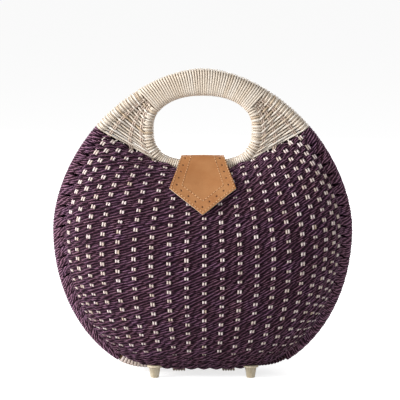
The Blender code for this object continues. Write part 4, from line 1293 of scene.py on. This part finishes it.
def back_leather():
    """The leather behind the back ring, and the fold that the flap turns on."""
    grid = []
    for x in np.linspace(-FLAP_TOP_HALF_WIDTH, FLAP_TOP_HALF_WIDTH, FOLD_GRID[0]):
        whole = np.concatenate(side_view(x, TAB_THICKNESS / 2, BACK))
        view = points_at(whole, np.linspace(FOLD_GAP, FOLD_GAP + TAB_LENGTH, 41))
        grid.append(np.column_stack([np.full(len(view), x), view]))
    points = np.array(grid)[::-1]
    unpunched = {"punched": np.zeros(points.shape[:2])}
    piece = cloth_grid("back_tab_leather", points, LEATHER, TAB_THICKNESS, unpunched, LEATHER_EDGE)
    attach(piece, "back_shell")
    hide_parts("back_tab")
    first = points[:, 0]
    last = first.copy()
    last[:, 1] = RIM_OFFSET - FOLD_GAP - FOLD_OVERLAP
    last[:, 2] = RING_BOTTOM_HEIGHT + WRAP_RADIUS + RING_CLEARANCE + TAB_THICKNESS / 2
    share = np.linspace(0, 1, FOLD_GRID[1])[None, :, None]
    fold = first[:, None] * (1 - share) + last[:, None] * share
    unpunched = {"punched": np.zeros(FOLD_GRID)}
    piece = cloth_grid("flap_fold_leather", fold, LEATHER, FOLD_THICKNESS, unpunched, LEATHER_EDGE)
    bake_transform(piece)


def foot_binding(name, centre, body):
    """Plum cord wound round a foot's neck: a helix of one radius that climbs evenly as it turns."""
    turn = np.linspace(0, FOOT_BINDING_TURNS * 2 * math.pi, FOOT_BINDING_SAMPLES)
    out = np.stack([np.cos(turn), np.sin(turn), np.zeros_like(turn)], axis=-1)
    rise = np.linspace(*FOOT_BINDING_HEIGHTS, FOOT_BINDING_SAMPLES)[:, None] * UPWARD
    path = np.array([*centre, 0.0]) + rise + FOOT_BINDING_RADIUS * out
    ridges = (running_length(path) / RIDGE_PITCH)[None]
    thick, tone = FOOT_BINDING_HALF_THICKNESS, FOOT_BINDING_TONE
    piece = strands(name, path[None], out[None], CORD_RADIUS, thick, CORD_SIDES, PLUM_CORD, tone, ridges)
    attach(piece, body)


def feet(prefix, body):
    """The turned feet of a half: a tapered peg with a flange against the basketwork.

    The profile is carried round the foot's axis: x and y are its radius times the cosine and the
    sine of an angle, and z is its height.
    """
    around = np.arange(FOOT_SIDES) * 2 * math.pi / FOOT_SIDES
    radius, height = FOOT_PROFILE[:, :1], FOOT_PROFILE[:, 1:]
    index = np.arange(len(FOOT_PROFILE) * FOOT_SIDES).reshape(-1, FOOT_SIDES)
    faces = [walls_between(index), index[:1, ::-1], index[-1:]]
    for word, _ in HANDS:
        low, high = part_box(f"{prefix}foot_{word}")
        centre = ((low[0] + high[0]) / 2, (low[1] + high[1]) / 2)
        x = centre[0] + radius * np.cos(around)
        y = centre[1] + radius * np.sin(around)
        points = np.stack([x, y, np.broadcast_to(height, index.shape)], axis=-1)
        piece = fill_mesh(f"{prefix}turned_foot_{word}", points.reshape(-1, 3), faces, WOOD, {})
        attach(piece, body)
        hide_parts(f"{prefix}foot_{word}")
        foot_binding(f"{prefix}foot_binding_{word}", centre, body)


def dress_frame():
    """Give the CAD pieces that stay in view their materials."""
    metals = ("flap_magnet", "front_magnet_plate")
    for item in bpy.data.objects:
        if item.type == "MESH" and (item.name.endswith("_core") or item.name in metals):
            item.data.materials.clear()
            item.data.materials.append(METAL if item.name in metals else CORE)


def as_background(surface, unseen, seen):
    """A strength for what the camera, gloss and glass see, and another for the light on the object."""
    kinds = ("Camera", "Glossy", "Transmission")
    camera, glossy, through = (node(surface, "ShaderNodeLightPath", f"Is {kind} Ray", {}) for kind in kinds)
    either = node(surface, "ShaderNodeMath", "Value", {0: camera, 1: glossy}, operation="MAXIMUM")
    any_ray = node(surface, "ShaderNodeMath", "Value", {0: either, 1: through}, operation="MAXIMUM")
    levels = {"Value": any_ray, "To Min": unseen, "To Max": seen}
    return node(surface, "ShaderNodeMapRange", "Result", levels)


def aim(item, target):
    """Turn a lamp or the camera towards a point."""
    item.rotation_euler = (Vector(target) - item.location).to_track_quat("-Z", "Y").to_euler()


def studio():
    """A white paper floor, and white air behind it that also gives a little light."""
    floor = bpy.data.meshes.new("studio_floor")
    floor.from_pydata([(-6, -6, 0), (6, -6, 0), (6, 12, 0), (-6, 12, 0)], [], [(0, 1, 2, 3)])
    white = colour("#ffffff")
    paper, _ = new_material(
        "white_paper",
        Roughness=0.9,
        Specular_IOR_Level=0.0,
        Base_Color=colour("#dddddd"),
        Emission_Color=white,
    )
    shader = paper.node_tree.nodes["Principled BSDF"]
    paper.node_tree.links.new(as_background(paper, 0.0, PAPER_GLOW), shader.inputs["Emission Strength"])
    floor.materials.append(paper)
    in_scene("studio_floor", floor)
    world = bpy.data.worlds.new("studio_air")
    bpy.context.scene.world = world
    world.use_nodes = True
    air = world.node_tree.nodes["Background"]
    world.node_tree.links.new(as_background(world, AIR_LIGHT, 1.0), air.inputs["Strength"])
    air.inputs["Color"].default_value = white


def light_and_camera():
    """Soft light from a window on the left, two fills, and a long lens from the front."""
    for name, place, size, power in LAMPS:
        lamp = bpy.data.lights.new(name, "AREA")
        lamp.size = size
        lamp.energy = power
        shade = in_scene(name, lamp)
        shade.location = place
        aim(shade, LAMP_TARGET)
    lens = bpy.data.cameras.new("camera")
    lens.lens = CAMERA_LENS
    camera = in_scene("camera", lens)
    offset = np.array([0.0, -math.cos(CAMERA_RISE), math.sin(CAMERA_RISE)])
    camera.location = CAMERA_TARGET + CAMERA_AWAY * offset
    aim(camera, CAMERA_TARGET)
    bpy.context.scene.camera = camera
    bpy.context.scene.view_settings.view_transform = "Standard"


def make_bag():
    """Both halves, then what joins and closes them."""
    for side, prefix, body in ((FRONT, "front_", "front_shell"), (BACK, "back_", "back_shell")):
        weft(side, prefix, body)
        stakes(side, prefix, body)
        rim_windings(side, prefix, body)
        handle_arch(side, prefix, body)
        corner_panels(side, prefix, body)
        linings(side, prefix, body)
        feet(prefix, body)
    lashings()
    gussets()
    flap()
    back_leather()


studio()
light_and_camera()
dress_frame()
make_bag()
